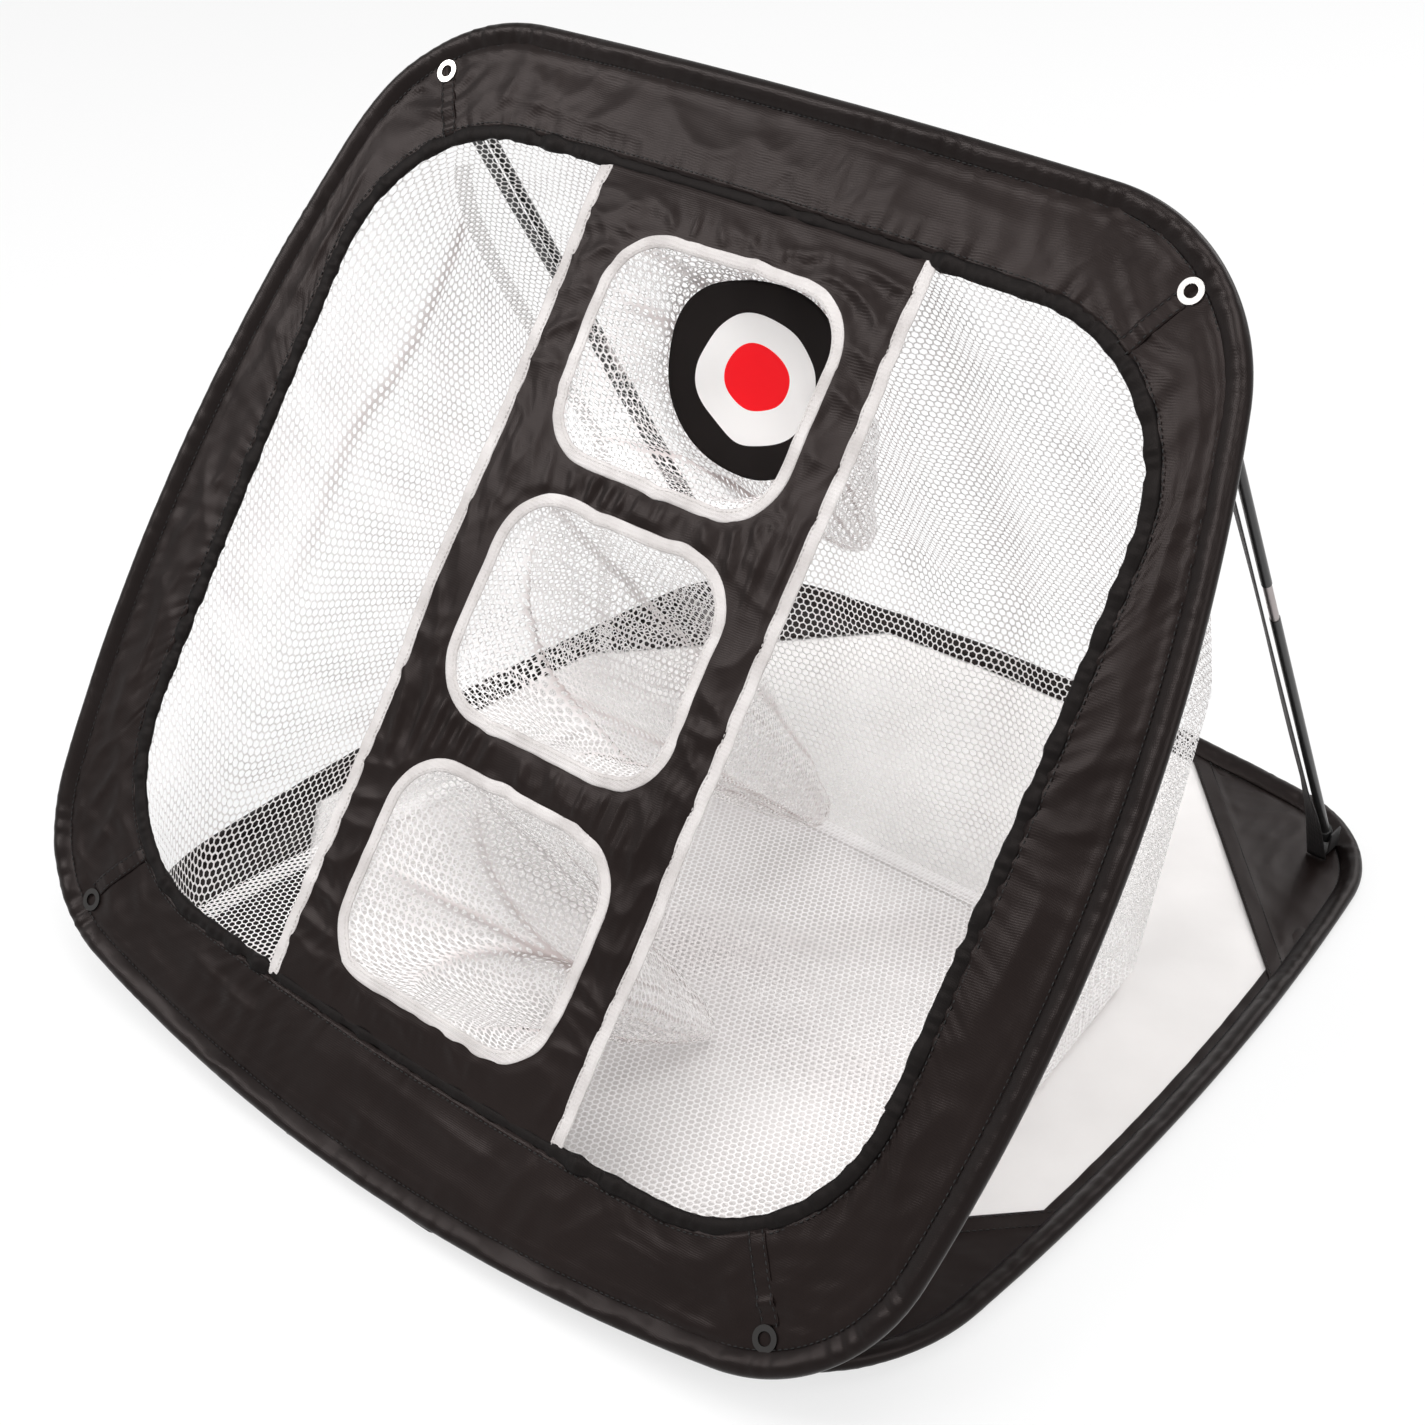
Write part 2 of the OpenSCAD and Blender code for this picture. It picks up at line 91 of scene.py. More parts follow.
def look_from(place, right, up, back, lens):
    data = bpy.data.cameras.new("camera")
    data.lens, data.sensor_width = lens, 36
    data.clip_start, data.clip_end = 0.05, 50
    camera = add_object("camera", data)
    axes = [[right[i], up[i], back[i], place[i]] for i in range(3)]
    camera.matrix_world = Matrix(axes + [[0, 0, 0, 1]])
    bpy.context.scene.camera = camera


look_from((0.7145, -0.8707, 0.8780), (0.7586, 0.6515, -0.0033), (-0.3563, 0.4191, 0.8351),
          (0.5455, -0.6324, 0.5501), 58.8)
bpy.context.scene.view_settings.view_transform = "Standard"

# %% Lamps
def soft_lamp(name, place, aim, size, watts):
    data = bpy.data.lights.new(name, "AREA")
    data.shape, data.size, data.size_y, data.energy = "RECTANGLE", size[0], size[1], watts
    lamp = add_object(name, data)
    lamp.location = place
    lamp.rotation_mode = "QUATERNION"
    lamp.rotation_quaternion = (Vector(place) - Vector(aim)).to_track_quat("Z", "Y")


soft_lamp("lamp_left", (-1.75, -1.75, 2.0), (0, -0.1, 0.25), (1.2, 0.8), 34)
soft_lamp("lamp_top", (0.3, -0.6, 2.4), (0, 0, 0.2), (1.5, 1.2), 36)
soft_lamp("lamp_right", (2.0, -0.6, 1.1), (0, 0, 0.2), (1.2, 1.2), 12)
soft_lamp("lamp_back", (0.3, 2.2, 1.6), (0, 0, 0.2), (1.8, 1.0), 22)

# %% World
def seen_ray(nodes, links):
    """1 for a ray that shows the background: to the camera, in a reflection or through glass."""
    path = nodes.new("ShaderNodeLightPath")
    shown = path.outputs["Is Camera Ray"]
    for kind in ("Is Glossy Ray", "Is Transmission Ray"):
        either = nodes.new("ShaderNodeMath")
        either.operation = "MAXIMUM"
        links.new(shown, either.inputs[0])
        links.new(path.outputs[kind], either.inputs[1])
        shown = either.outputs[0]
    return shown


world = bpy.data.worlds.new("studio")
bpy.context.scene.world = world
world.use_nodes = True
wn, wl = world.node_tree.nodes, world.node_tree.links
wn.clear()
sky, white, pick, out, direction, split, height = (wn.new("ShaderNode" + kind) for kind in (
    "Background", "Background", "MixShader", "OutputWorld", "TexCoord", "SeparateXYZ", "MapRange"))
wl.new(direction.outputs["Generated"], split.inputs[0])
for key, value in (("From Min", -0.1), ("From Max", 0.9), ("To Min", 0.14), ("To Max", 0.85)):
    height.inputs[key].default_value = value
white.inputs["Strength"].default_value = 1.0
for source, end in ((split.outputs["Z"], height.inputs["Value"]), (height.outputs[0], sky.inputs["Strength"]),
                    (seen_ray(wn, wl), pick.inputs[0]), (sky.outputs[0], pick.inputs[1]),
                    (white.outputs[0], pick.inputs[2]), (pick.outputs[0], out.inputs[0])):
    wl.new(source, end)

# %% [markdown]
# ## Finishes
# Every finish is made of nodes. Cloth is a Principled surface with a weave that bumps it and a
# slow change of tone, because dyed cloth is never one flat colour. The knitted net is the special
# one: a hexagon pattern read from the cloth's own UV map, in millimetres, cuts the holes out of a
# plain sheet, so every net piece can stay a light mesh.

# %% Helpers for finishes
def finish(name):
    material = bpy.data.materials.new(name)
    material.use_nodes = True
    nodes, links = material.node_tree.nodes, material.node_tree.links
    nodes.clear()
    surface = nodes.new("ShaderNodeBsdfPrincipled")
    output = nodes.new("ShaderNodeOutputMaterial")
    links.new(surface.outputs[0], output.inputs[0])
    return material, nodes, links, surface


def set_sockets(node, **values):
    for key, value in values.items():
        node.inputs[key.replace("_", " ")].default_value = value


def object_finish(name):
    """A finish whose pattern reads Object coordinates, so it stays on the piece."""
    material, nodes, links, surface = finish(name)
    return material, nodes, links, surface, nodes.new("ShaderNodeTexCoord").outputs["Object"]


def maths(nodes, links, kind, a, b=None, c=None):
    node = nodes.new("ShaderNodeMath")
    node.operation = kind
    for i, value in enumerate((a, b, c)):
        if value is None:
            continue
        if isinstance(value, (int, float)):
            node.inputs[i].default_value = value
        else:
            links.new(value, node.inputs[i])
    return node.outputs[0]


def mottle(nodes, links, coords, scale, low, high):
    """A slow change between two tones; also gives the plain noise."""
    noise = nodes.new("ShaderNodeTexNoise")
    set_sockets(noise, Scale=scale, Detail=4.0)
    links.new(coords, noise.inputs["Vector"])
    ramp = nodes.new("ShaderNodeValToRGB")
    for stop, place, colour in zip(ramp.color_ramp.elements, (0.3, 0.7), (low, high)):
        stop.position, stop.color = place, (*colour, 1)
    links.new(noise.outputs["Fac"], ramp.inputs[0])
    return ramp.outputs[0], noise.outputs["Fac"]


def bump(nodes, links, height, distance, strength, before=None):
    node = nodes.new("ShaderNodeBump")
    set_sockets(node, Distance=distance, Strength=strength)
    links.new(height, node.inputs["Height"])
    if before is not None:
        links.new(before, node.inputs["Normal"])
    return node.outputs[0]


def weave_height(nodes, links, coords, threads_per_metre):
    bands = []
    for axis in ("X", "Y"):
        wave = nodes.new("ShaderNodeTexWave")
        wave.bands_direction = axis
        wave.inputs["Scale"].default_value = threads_per_metre
        links.new(coords, wave.inputs["Vector"])
        bands.append(wave.outputs["Fac"])
    return maths(nodes, links, "MAXIMUM", *bands)


# %% Woven and moulded finishes
def taffeta(name, low, high, roughness, crinkle, shine=0.5):
    material, nodes, links, surface, where = object_finish(name)
    tone, _ = mottle(nodes, links, where, 9.0, low, high)
    links.new(tone, surface.inputs["Base Color"])
    set_sockets(surface, Roughness=roughness, IOR=1.5, Specular_IOR_Level=shine,
                Specular_Tint=(1.0, 0.86, 0.83, 1))
    noise = nodes.new("ShaderNodeTexNoise")
    set_sockets(noise, Scale=38.0, Detail=3.0, Distortion=0.6)
    links.new(where, noise.inputs["Vector"])
    folds = bump(nodes, links, noise.outputs["Fac"], 0.0012, crinkle)
    weave = bump(nodes, links, weave_height(nodes, links, where, 420.0), 0.00008, 0.5, folds)
    links.new(weave, surface.inputs["Normal"])
    return material


def tape_cloth(name, low, high, roughness, ribs):
    material, nodes, links, surface, where = object_finish(name)
    tone, _ = mottle(nodes, links, where, 45.0, low, high)
    links.new(tone, surface.inputs["Base Color"])
    set_sockets(surface, Roughness=roughness, IOR=1.45)
    links.new(bump(nodes, links, weave_height(nodes, links, where, ribs), 0.0002, 0.7),
              surface.inputs["Normal"])
    return material


def bright_metal(name, colour, roughness, rough_change):
    material, nodes, links, surface, where = object_finish(name)
    set_sockets(surface, Base_Color=(*colour, 1), Metallic=1.0)
    _, noise = mottle(nodes, links, where, 160.0, (0, 0, 0), (1, 1, 1))
    rough = maths(nodes, links, "MULTIPLY_ADD", noise, rough_change, roughness)
    links.new(rough, surface.inputs["Roughness"])
    links.new(bump(nodes, links, noise, 0.00005, 0.3), surface.inputs["Normal"])
    return material


def smooth_coat(name, low, high, roughness):
    material, nodes, links, surface, where = object_finish(name)
    tone, noise = mottle(nodes, links, where, 60.0, low, high)
    links.new(tone, surface.inputs["Base Color"])
    set_sockets(surface, Roughness=roughness, IOR=1.5)
    links.new(bump(nodes, links, noise, 0.00006, 0.25), surface.inputs["Normal"])
    return material


BLACK_TAFFETA = taffeta("black_taffeta", (0.0070, 0.0046, 0.0042), (0.0115, 0.0080, 0.0074),
                        0.30, 0.05, 0.125)
# The sleeve's taffeta is the border's cloth with a darker base colour: painted shade, so the sleeve reads darker
# than the border.
SHADED_SLEEVE_TAFFETA = taffeta("sleeve_taffeta_painted_shade", (0.0048, 0.0034, 0.0032), (0.0080, 0.0058, 0.0055),
                         0.31, 0.05, 0.15)
BLACK_BINDING = taffeta("black_binding", (0.003, 0.0025, 0.0025), (0.005, 0.0045, 0.0043),
                        0.55, 0.3, 0.12)
GROUND_CLOTH = taffeta("ground_cloth", (0.71, 0.69, 0.68), (0.80, 0.78, 0.77), 0.6, 0.12)
WHITE_TAPE = tape_cloth("white_tape", (0.46, 0.43, 0.42), (0.64, 0.61, 0.60), 0.7, 260.0)
BLACK_WEBBING = tape_cloth("black_webbing", (0.012, 0.011, 0.011), (0.024, 0.022, 0.022), 0.6, 150.0)
BLACK_THREAD = tape_cloth("black_thread", (0.006, 0.006, 0.006), (0.012, 0.012, 0.012), 0.7, 900.0)
WHITE_THREAD = tape_cloth("white_thread", (0.50, 0.47, 0.455), (0.58, 0.55, 0.535), 0.7, 900.0)
NICKEL = bright_metal("nickel", (0.58, 0.56, 0.54), 0.2, 0.1)
DARK_NICKEL = bright_metal("dark_nickel", (0.05, 0.048, 0.047), 0.35, 0.1)
SPRING_STEEL = bright_metal("spring_steel", (0.45, 0.45, 0.46), 0.3, 0.2)
FERRULE = bright_metal("ferrule_metal", (0.42, 0.38, 0.375), 0.34, 0.2)
ROD_BLACK = smooth_coat("rod_black", (0.010, 0.010, 0.010), (0.018, 0.017, 0.017), 0.32)
RUBBER = smooth_coat("rubber_black", (0.012, 0.012, 0.012), (0.02, 0.02, 0.02), 0.6)

# %% [markdown]
# ### The knitted mesh
# A hexagon grid is two shifted rectangular grids: each point belongs to the nearer of the two
# nearest cell centres, and its six-sided distance from that centre says whether it is in the
# hole or on the thread. Where the net is gathered its threads crowd together, so each point
# carries a value that thickens the thread there and darkens its colour with painted shade.

# %% Knitted mesh finish
def knitted_mesh(name, cell, thread, colour):
    """cell is the width of a hexagon and thread that of its thread, in millimetres."""
    material, nodes, links, surface = finish(name)
    where = nodes.new("ShaderNodeUVMap")
    where.uv_map = "cloth_mm"

    def vector(kind, a, value=None):
        node = nodes.new("ShaderNodeVectorMath")
        node.operation = kind
        links.new(a, node.inputs[0])
        if value is not None:
            node.inputs[1].default_value = value
        return node.outputs["Value" if kind == "LENGTH" else "Vector"]

    grid = (1.0, math.sqrt(3), 1.0)
    half = tuple(x / 2 for x in grid)
    scaled = vector("MULTIPLY", where.outputs[0], (1 / cell, 1 / cell, 0))
    positive = vector("ADD", scaled, (400.0, 400.0 * math.sqrt(3), 0))
    flat = []
    for shift in ((0, 0, 0), half):
        wrapped = vector("MODULO", vector("SUBTRACT", positive, shift), grid)
        flat.append(vector("MULTIPLY", vector("SUBTRACT", wrapped, half), (1, 1, 0)))
    lengths = [vector("LENGTH", c) for c in flat]
    nearer = maths(nodes, links, "LESS_THAN", lengths[1], lengths[0])
    choose = nodes.new("ShaderNodeMix")
    choose.data_type = "VECTOR"
    links.new(nearer, choose.inputs["Factor"])
    vectors = [s for s in choose.inputs if s.type == "VECTOR"][-2:]
    links.new(flat[0], vectors[0])
    links.new(flat[1], vectors[1])
    picked = [s for s in choose.outputs if s.type == "VECTOR"][0]
    split = nodes.new("ShaderNodeSeparateXYZ")
    links.new(vector("ABSOLUTE", picked), split.inputs[0])
    slanted = maths(nodes, links, "MULTIPLY_ADD", split.outputs["Y"], math.sqrt(3) / 2,
                    maths(nodes, links, "MULTIPLY", split.outputs["X"], 0.5))
    six_sided = maths(nodes, links, "MAXIMUM", split.outputs["X"], slanted)
    fold = nodes.new("ShaderNodeAttribute")
    fold.attribute_name = "fold"
    edge = maths(nodes, links, "MULTIPLY_ADD", fold.outputs["Fac"], -0.17, 0.5 - thread / cell / 2)
    on_thread = maths(nodes, links, "GREATER_THAN", six_sided, edge)
    links.new(on_thread, surface.inputs["Alpha"])
    # Painted shade: a high value turns the thread's colour to a darker pinkish grey.
    shade = nodes.new("ShaderNodeValToRGB")
    shade.color_ramp.elements[0].color = (*colour, 1)
    shade.color_ramp.elements[1].color = (colour[0] * 0.62, colour[1] * 0.55, colour[2] * 0.54, 1)
    links.new(fold.outputs["Fac"], shade.inputs[0])
    links.new(shade.outputs[0], surface.inputs["Base Color"])
    set_sockets(surface, Roughness=0.6, IOR=1.4)
    return material


NET_MESH = knitted_mesh("net_mesh", 4.5, 0.92, (0.90, 0.885, 0.88))
POCKET_MESH = knitted_mesh("pocket_mesh", 5.0, 1.05, (0.91, 0.89, 0.885))

# %% [markdown]
# ### The printed target
# A round patch of cloth with the traditional rings. The rings are circles on the patch's own UV
# map, pushed about a little by noise, because ink on limp cloth is never quite round.

# %% Printed target finish
def printed_rings(name, rings, wobble):
    """rings are (outer radius in millimetres, ink), from the middle outwards."""
    material, nodes, links, surface = finish(name)
    where = nodes.new("ShaderNodeUVMap")
    where.uv_map = "cloth_mm"
    noise = nodes.new("ShaderNodeTexNoise")
    set_sockets(noise, Scale=0.035, Detail=0.0)
    links.new(where.outputs[0], noise.inputs["Vector"])
    length = nodes.new("ShaderNodeVectorMath")
    length.operation = "LENGTH"
    links.new(where.outputs[0], length.inputs[0])
    radius = maths(nodes, links, "MULTIPLY_ADD", noise.outputs["Fac"], wobble, length.outputs["Value"])
    ramp = nodes.new("ShaderNodeValToRGB")
    ramp.color_ramp.interpolation = "CONSTANT"
    widest = rings[-1][0]
    edges = ramp.color_ramp.elements
    edges[0].position, edges[0].color = 0.0, (*rings[0][1], 1)
    edges[1].position, edges[1].color = rings[0][0] / widest, (*rings[1][1], 1)
    for (edge, _), (_, colour) in zip(rings[1:], rings[2:]):
        edges.new(edge / widest).color = (*colour, 1)
    links.new(maths(nodes, links, "DIVIDE", radius, widest), ramp.inputs[0])
    links.new(ramp.outputs[0], surface.inputs["Base Color"])
    set_sockets(surface, Roughness=0.7, IOR=1.45, Specular_IOR_Level=0.15)
    links.new(bump(nodes, links, weave_height(nodes, links, where.outputs[0], 1.1), 0.0001, 0.4),
              surface.inputs["Normal"])
    return material


INK_RED, INK_WHITE, INK_BLACK = (0.90, 0.009, 0.016), (0.86, 0.84, 0.83), (0.009, 0.0065, 0.006)
TARGET_PRINT = printed_rings("target_print", [(23.0, INK_RED), (39.5, INK_WHITE), (60.0, INK_BLACK)], 8.0)

# %% [markdown]
# ## Shapes shared by all the cloth
# Both hoops and the window are closed loops of eight arcs that meet smoothly. The same few
# numbers make the CAD outlines, so the cloth lands exactly on the hoops.

# %% Loops of arcs
def crossing(p, rp, q, rq, side):
    p, q = np.array(p, float), np.array(q, float)
    gap = np.linalg.norm(q - p)
    along = (q - p) / gap
    a = (rp * rp - rq * rq + gap * gap) / (2 * gap)
    return p + a * along + side * math.sqrt(rp * rp - a * a) * np.array([-along[1], along[0]])


def heading(v):
    return math.atan2(v[1], v[0])


def loop_arcs(loop):
    """The eight arcs (centre, radius, first angle, last angle), from the right side upwards."""
    half_w, half_h, side_r, side_y, top_r, low_r, top_corner, low_corner = loop
    side, top, low = (half_w - side_r, side_y), (0, half_h - top_r), (0, low_r - half_h)
    upper = crossing(side, side_r - top_corner, top, top_r - top_corner, 1)
    lower = crossing(side, side_r - low_corner, low, low_r - low_corner, -1)
    a0, a1 = heading(lower - side), heading(upper - side)
    a2, a3 = heading(upper - top), heading(lower - low)
    pi = math.pi
    return [(side, side_r, a0, a1), (upper, top_corner, a1, a2), (top, top_r, a2, pi - a2),
            ((-upper[0], upper[1]), top_corner, pi - a2, pi - a1),
            ((-side[0], side[1]), side_r, pi - a1, pi - a0),
            ((-lower[0], lower[1]), low_corner, pi - a0, pi - a3),
            (low, low_r, pi - a3, 2 * pi + a3), (lower, low_corner, 2 * pi + a3, 2 * pi + a0)]


# Points along each of the eight arcs.
STEPS = (120, 44, 120, 44, 120, 44, 120, 44)


def loop_line(loop, warp_top=1.0, warp_low=1.0, steps=STEPS):
    """Points and inward directions round a loop. A warp slides the points within a corner, so
    that the points of two loops can be paired along a slanted seam."""
    points, inward = [], []
    for i, (centre, radius, start, end) in enumerate(loop_arcs(loop)):
        f = np.arange(steps[i]) / steps[i]
        warp = warp_top if i < 4 else warp_low
        if i in (1, 5):
            f = f ** warp
        if i in (3, 7):
            f = 1 - (1 - f) ** warp
        angle = start + (end - start) * f
        out = np.stack([np.cos(angle), np.sin(angle)], 1)
        points.append(np.array(centre) + radius * out)
        inward.append(-out)
    return np.concatenate(points), np.concatenate(inward)


def run_length(points, closed=True):
    following = np.roll(points, -1, 0) if closed else points[1:]
    steps = np.linalg.norm(following - (points if closed else points[:-1]), axis=1)
    return np.concatenate([[0], np.cumsum(steps)])


def run_length_rows(points):
    """The mean distance along a grid of points in metres, row by row, in millimetres of cloth."""
    down = np.linalg.norm(np.diff(points, axis=0), axis=2)
    return np.concatenate([[0], np.cumsum(down.mean(1))]) / MM


def on_panel(u, v, n):
    """From across the panel, up it and out in front of it, in millimetres, to metres in the frame."""
    u, v, n = np.broadcast_arrays(np.asarray(u, float), np.asarray(v, float), np.asarray(n, float))
    y = TUBE[0] + (v - SLEEVE_R) * math.cos(LEAN) - n * math.sin(LEAN)
    z = TUBE[1] + (v - SLEEVE_R) * math.sin(LEAN) + n * math.cos(LEAN)
    return np.stack([u, y, z], -1) * MM


def smooth_round(line, passes):
    """Evens out a closed line, or the heights along it."""
    for _ in range(passes):
        line = (np.roll(line, 1, 0) + 2 * line + np.roll(line, -1, 0)) / 4
    return line


def smooth_open(line, passes):
    """Evens out an open line and keeps its two ends."""
    for _ in range(passes):
        line[1:-1] = (line[:-2] + 2 * line[1:-1] + line[2:]) / 4
    return line


# %% Wrinkles and meshes
def wrinkles(x, y, seed, long, short, count=7, turn=0.0, spread=3.14):
    """Smooth folds: a sum of waves of chosen lengths and headings, about -1 to 1."""
    rng = np.random.default_rng(seed)
    total = np.zeros(np.broadcast(x, y).shape)
    for _ in range(count):
        wave = math.exp(rng.uniform(math.log(short), math.log(long)))
        angle = turn + rng.uniform(-spread, spread)
        phase = rng.uniform(0, 6.28)
        total += np.sin((x * math.cos(angle) + y * math.sin(angle)) * 6.2832 / wave + phase)
    return total / math.sqrt(count) / 1.2


def waver(s, seed, long, short, count):
    """Wrinkles along one line."""
    return wrinkles(s, 0 * s, seed, long, short, count, 0, 0.1)


def crease(w):
    """Sharpens smooth waves into folds with crests."""
    return 1 - 2 * np.abs(np.clip(w, -1.4, 1.4)) ** 0.8 / 1.3


def crumple(x, y, seed, size, turn=0.0, spread=3.14):
    """Sharp bent ridges, as in creased taffeta: folded waves whose coordinates are pushed about
    by slower waves."""
    push_x, push_y = (0.4 * size * wrinkles(x, y, seed + k, 5 * size, 2 * size, 5) for k in (50, 51))
    total = 0
    for k, (scale, share) in enumerate(((1.0, 1.0), (0.5, 0.35))):
        long, short = 1.6 * size * scale, 0.8 * size * scale
        waves = wrinkles(x + push_x, y + push_y, seed + k, long, short, 5, turn, spread)
        total = total + share * crease(waves)
    return total


def face_outwards(piece, merge=None):
    """Recalculates the normals, after merging points that are closer than merge."""
    work = bmesh.new()
    work.from_mesh(piece.data)
    if merge:
        bmesh.ops.remove_doubles(work, verts=work.verts, dist=merge)
    bmesh.ops.recalc_face_normals(work, faces=work.faces)
    work.to_mesh(piece.data)
    work.free()


def mesh_object(name, points, faces, material, uv=None, fold=None, outwards=False):
    data = bpy.data.meshes.new(name)
    data.from_pydata(np.asarray(points, float).reshape(-1, 3).tolist(), [], faces)
    if uv is not None:
        layer = data.uv_layers.new(name="cloth_mm")
        flat = np.asarray(uv, float).reshape(-1, 2)
        loops = np.zeros(len(data.loops), int)
        data.loops.foreach_get("vertex_index", loops)
        layer.data.foreach_set("uv", flat[loops].ravel())
    if fold is not None:
        values = np.asarray(fold, np.float32).ravel()
        data.attributes.new("fold", "FLOAT", "POINT").data.foreach_set("value", values)
    data.polygons.foreach_set("use_smooth", [True] * len(data.polygons))
    data.materials.append(material)
    data.update()
    made = add_object(name, data)
    if outwards:
        face_outwards(made)
    return made


def grid_faces(rows, cols, loop_rows=False, loop_cols=False, keep=None, flip=False):
    faces = []
    for i in range(rows if loop_rows else rows - 1):
        for j in range(cols if loop_cols else cols - 1):
            if keep is not None and not keep[i, j]:
                continue
            a, b = i * cols + j, ((i + 1) % rows) * cols + j
            c, d = ((i + 1) % rows) * cols + (j + 1) % cols, i * cols + (j + 1) % cols
            faces.append((a, d, c, b) if flip else (a, b, c, d))
    return faces


def thicken(piece, thickness):
    made = piece.modifiers.new("cloth_thickness", "SOLIDIFY")
    made.thickness = thickness * MM
    made.offset = 0


def stands_for(piece, body, node):
    """The piece rides on its body and is seen in place of the CAD node."""
    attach(piece, body)
    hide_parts(node)


def ribbon(name, centre, across, out, width, thick, slot_name, material, closed=False, sides=10):
    """A flat tape with rounded edges laid along a line. across and out are unit directions."""
    angle = np.arange(sides) * 2 * math.pi / sides
    w = np.sign(np.cos(angle)) * np.abs(np.cos(angle)) ** 0.55
    t = np.sign(np.sin(angle)) * np.abs(np.sin(angle)) ** 0.75
    half_w, half_t = (np.atleast_1d(size)[:, None, None] / 2 * MM for size in (width, thick))
    points = (centre[:, None, :] + across[:, None, :] * (w[None, :, None] * half_w)
              + out[:, None, :] * (t[None, :, None] * half_t))
    rows = len(centre)
    faces = grid_faces(rows, sides, loop_rows=closed, loop_cols=True)
    if not closed:
        faces.append(tuple(range(sides))[::-1])
        faces.append(tuple((rows - 1) * sides + k for k in range(sides)))
    return mesh_object(name, points, faces, material, outwards=True)


def directions(points, out, closed=False):
    """Across and outward unit directions along a line, with out as the rough outward one."""
    if closed:
        points = np.concatenate([points[-2:], points, points[:2]])
    along = np.gradient(points, axis=0)
    along /= np.linalg.norm(along, axis=1)[:, None]
    across = np.cross(np.broadcast_to(out, points.shape), along)
    across /= np.linalg.norm(across, axis=1)[:, None]
    out = np.cross(along, across)
    return (across[2:-2], out[2:-2]) if closed else (across, out)


# %% [markdown]
# ### Cloth between the base and the panel
# When the panel folds down, the real bags fold like a fan: cloth low over the base hardly moves and
# cloth near the panel turns with it. Here these pieces only have their place baked into their
# points, and they do not follow the panel's turn.


def follows_fold(piece):
    """Bakes the piece's place into its points; it does not blend the piece between base and panel."""
    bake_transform(piece)


# %% [markdown]
# ## Sleeves
# The hoop runs in a sleeve: the cloth is folded over the spring and sewn down 13 mm in from the
# edge, so the section is a drop, fat round the spring and thin at the seam. Sewing takes up more
# thread than cloth, so the drop is gathered into small folds square to the seam.

# %% Drop shaped sleeve round a loop
# From the sleeve's outer edge in to its seam, in millimetres.
SEAM = 13.2


def sleeve(name, loop, thick, seed, place, body, node, drop=0.0):
    """drop lowers the seam below the hoop's middle, for the hoop that lies on the ground."""
    line, inward = loop_line(loop)
    s, sides = run_length(line)[:-1], 20
    angle = np.arange(sides) * 2 * math.pi / sides
    a, b = np.meshgrid(s, angle, indexing="ij")
    depth = SEAM / 2 * (1 - np.cos(b))
    puff = thick * np.sin(b) * (0.66 + 0.34 * np.cos(b))
    near_seam = np.clip(depth / SEAM, 0, 1)
    gather = crease(wrinkles(a, depth * 0.9 * np.sign(np.sin(b)), seed, 34, 13, 9, 0.0, 0.7))
    slow = wrinkles(a, depth, seed + 1, 120, 45, 5, 0.0, 0.5)
    x, y = line[:, :1], line[:, 1:]
    low_edge = np.exp(-((y - y.min()) / 70) ** 2)
    turns = np.exp(-((y - y.max()) / 90) ** 2) * np.clip(np.abs(x) / 120 - 0.8, 0, 1)
    rough = 0.12 + 0.16 * np.clip(waver(a, seed + 2, 300, 120, 4), 0, 1) + 0.20 * low_edge + 0.14 * turns
    flattest = -0.2 - 0.5 * near_seam ** 4
    puff = puff * (0.97 + np.maximum(rough * gather * (0.5 + near_seam), flattest) + 0.06 * slow)
    depth = depth + 1.3 * rough * gather * np.sin(b) ** 2
    puff = puff - drop * np.clip((depth - 6) / (SEAM - 6), 0, 1) ** 1.5
    flat = line[:, None, :] + inward[:, None, :] * depth[..., None]
    made = mesh_object(name, place(flat[..., 0], flat[..., 1], puff), grid_faces(len(s), sides, True, True),
                       SHADED_SLEEVE_TAFFETA, outwards=True)
    stands_for(made, body, node)
    print(name, len(made.data.polygons), "faces")


def on_hoop_panel(x, y, n):
    return on_panel(x, y + PANEL_MID, n)


def on_hoop_base(x, y, n):
    return np.stack([x, y, np.maximum(n + SLEEVE_R, 0.2)], -1) * MM


sleeve("panel_sleeve_cloth", PANEL_LOOP, 5.9, 11, on_hoop_panel, "panel", "panel_sleeve")
sleeve("base_sleeve_cloth", BASE_LOOP, 5.7, 23, on_hoop_base, "base", "base_sleeve", 2.5)

# %% [markdown]
# ## The panel's border
# Four pieces of doubled taffeta fill the space between the sleeve's seam and the window. Points
# of the outer and the inner loop are paired so that a seam between two pieces is one line of the
# grid. Tension runs from the corners, so long low folds cross the border, and short ones start
# at every line of stitches.

# %% Border cloth
CORNER_WARP_TOP, CORNER_WARP_LOW = 0.60, 1.5
UNDER_BINDING = 5.5
outer_line, outer_in = loop_line(PANEL_LOOP)
inner_line, inner_in = loop_line(WINDOW_LOOP, CORNER_WARP_TOP, CORNER_WARP_LOW)
outer_line = outer_line + np.array([0, PANEL_MID])
inner_line = inner_line + np.array([0, WINDOW_MID])
seam_line, window_edge = outer_line + outer_in * SEAM, inner_line - inner_in * UNDER_BINDING
ROUND = len(outer_line)
CORNER_AT = np.cumsum((0,) + STEPS)
SEAM_AT = {"top_right": CORNER_AT[1] + int(0.51 * STEPS[1]), "top_left": CORNER_AT[4] - int(0.51 * STEPS[3]),
           "low_left": CORNER_AT[5] + int(0.74 * STEPS[5]), "low_right": CORNER_AT[8] - int(0.74 * STEPS[7])}


def eyelet_dip(u, v):
    """0 under the flange of an eyelet and 1 away from it: metal presses the cloth flat."""
    dip = 1.0
    for x, y in EYELETS.values():
        dip = dip * np.clip((np.hypot(np.abs(u) - x, v - y) - 8.0) / 8.0, 0, 1)
    return dip


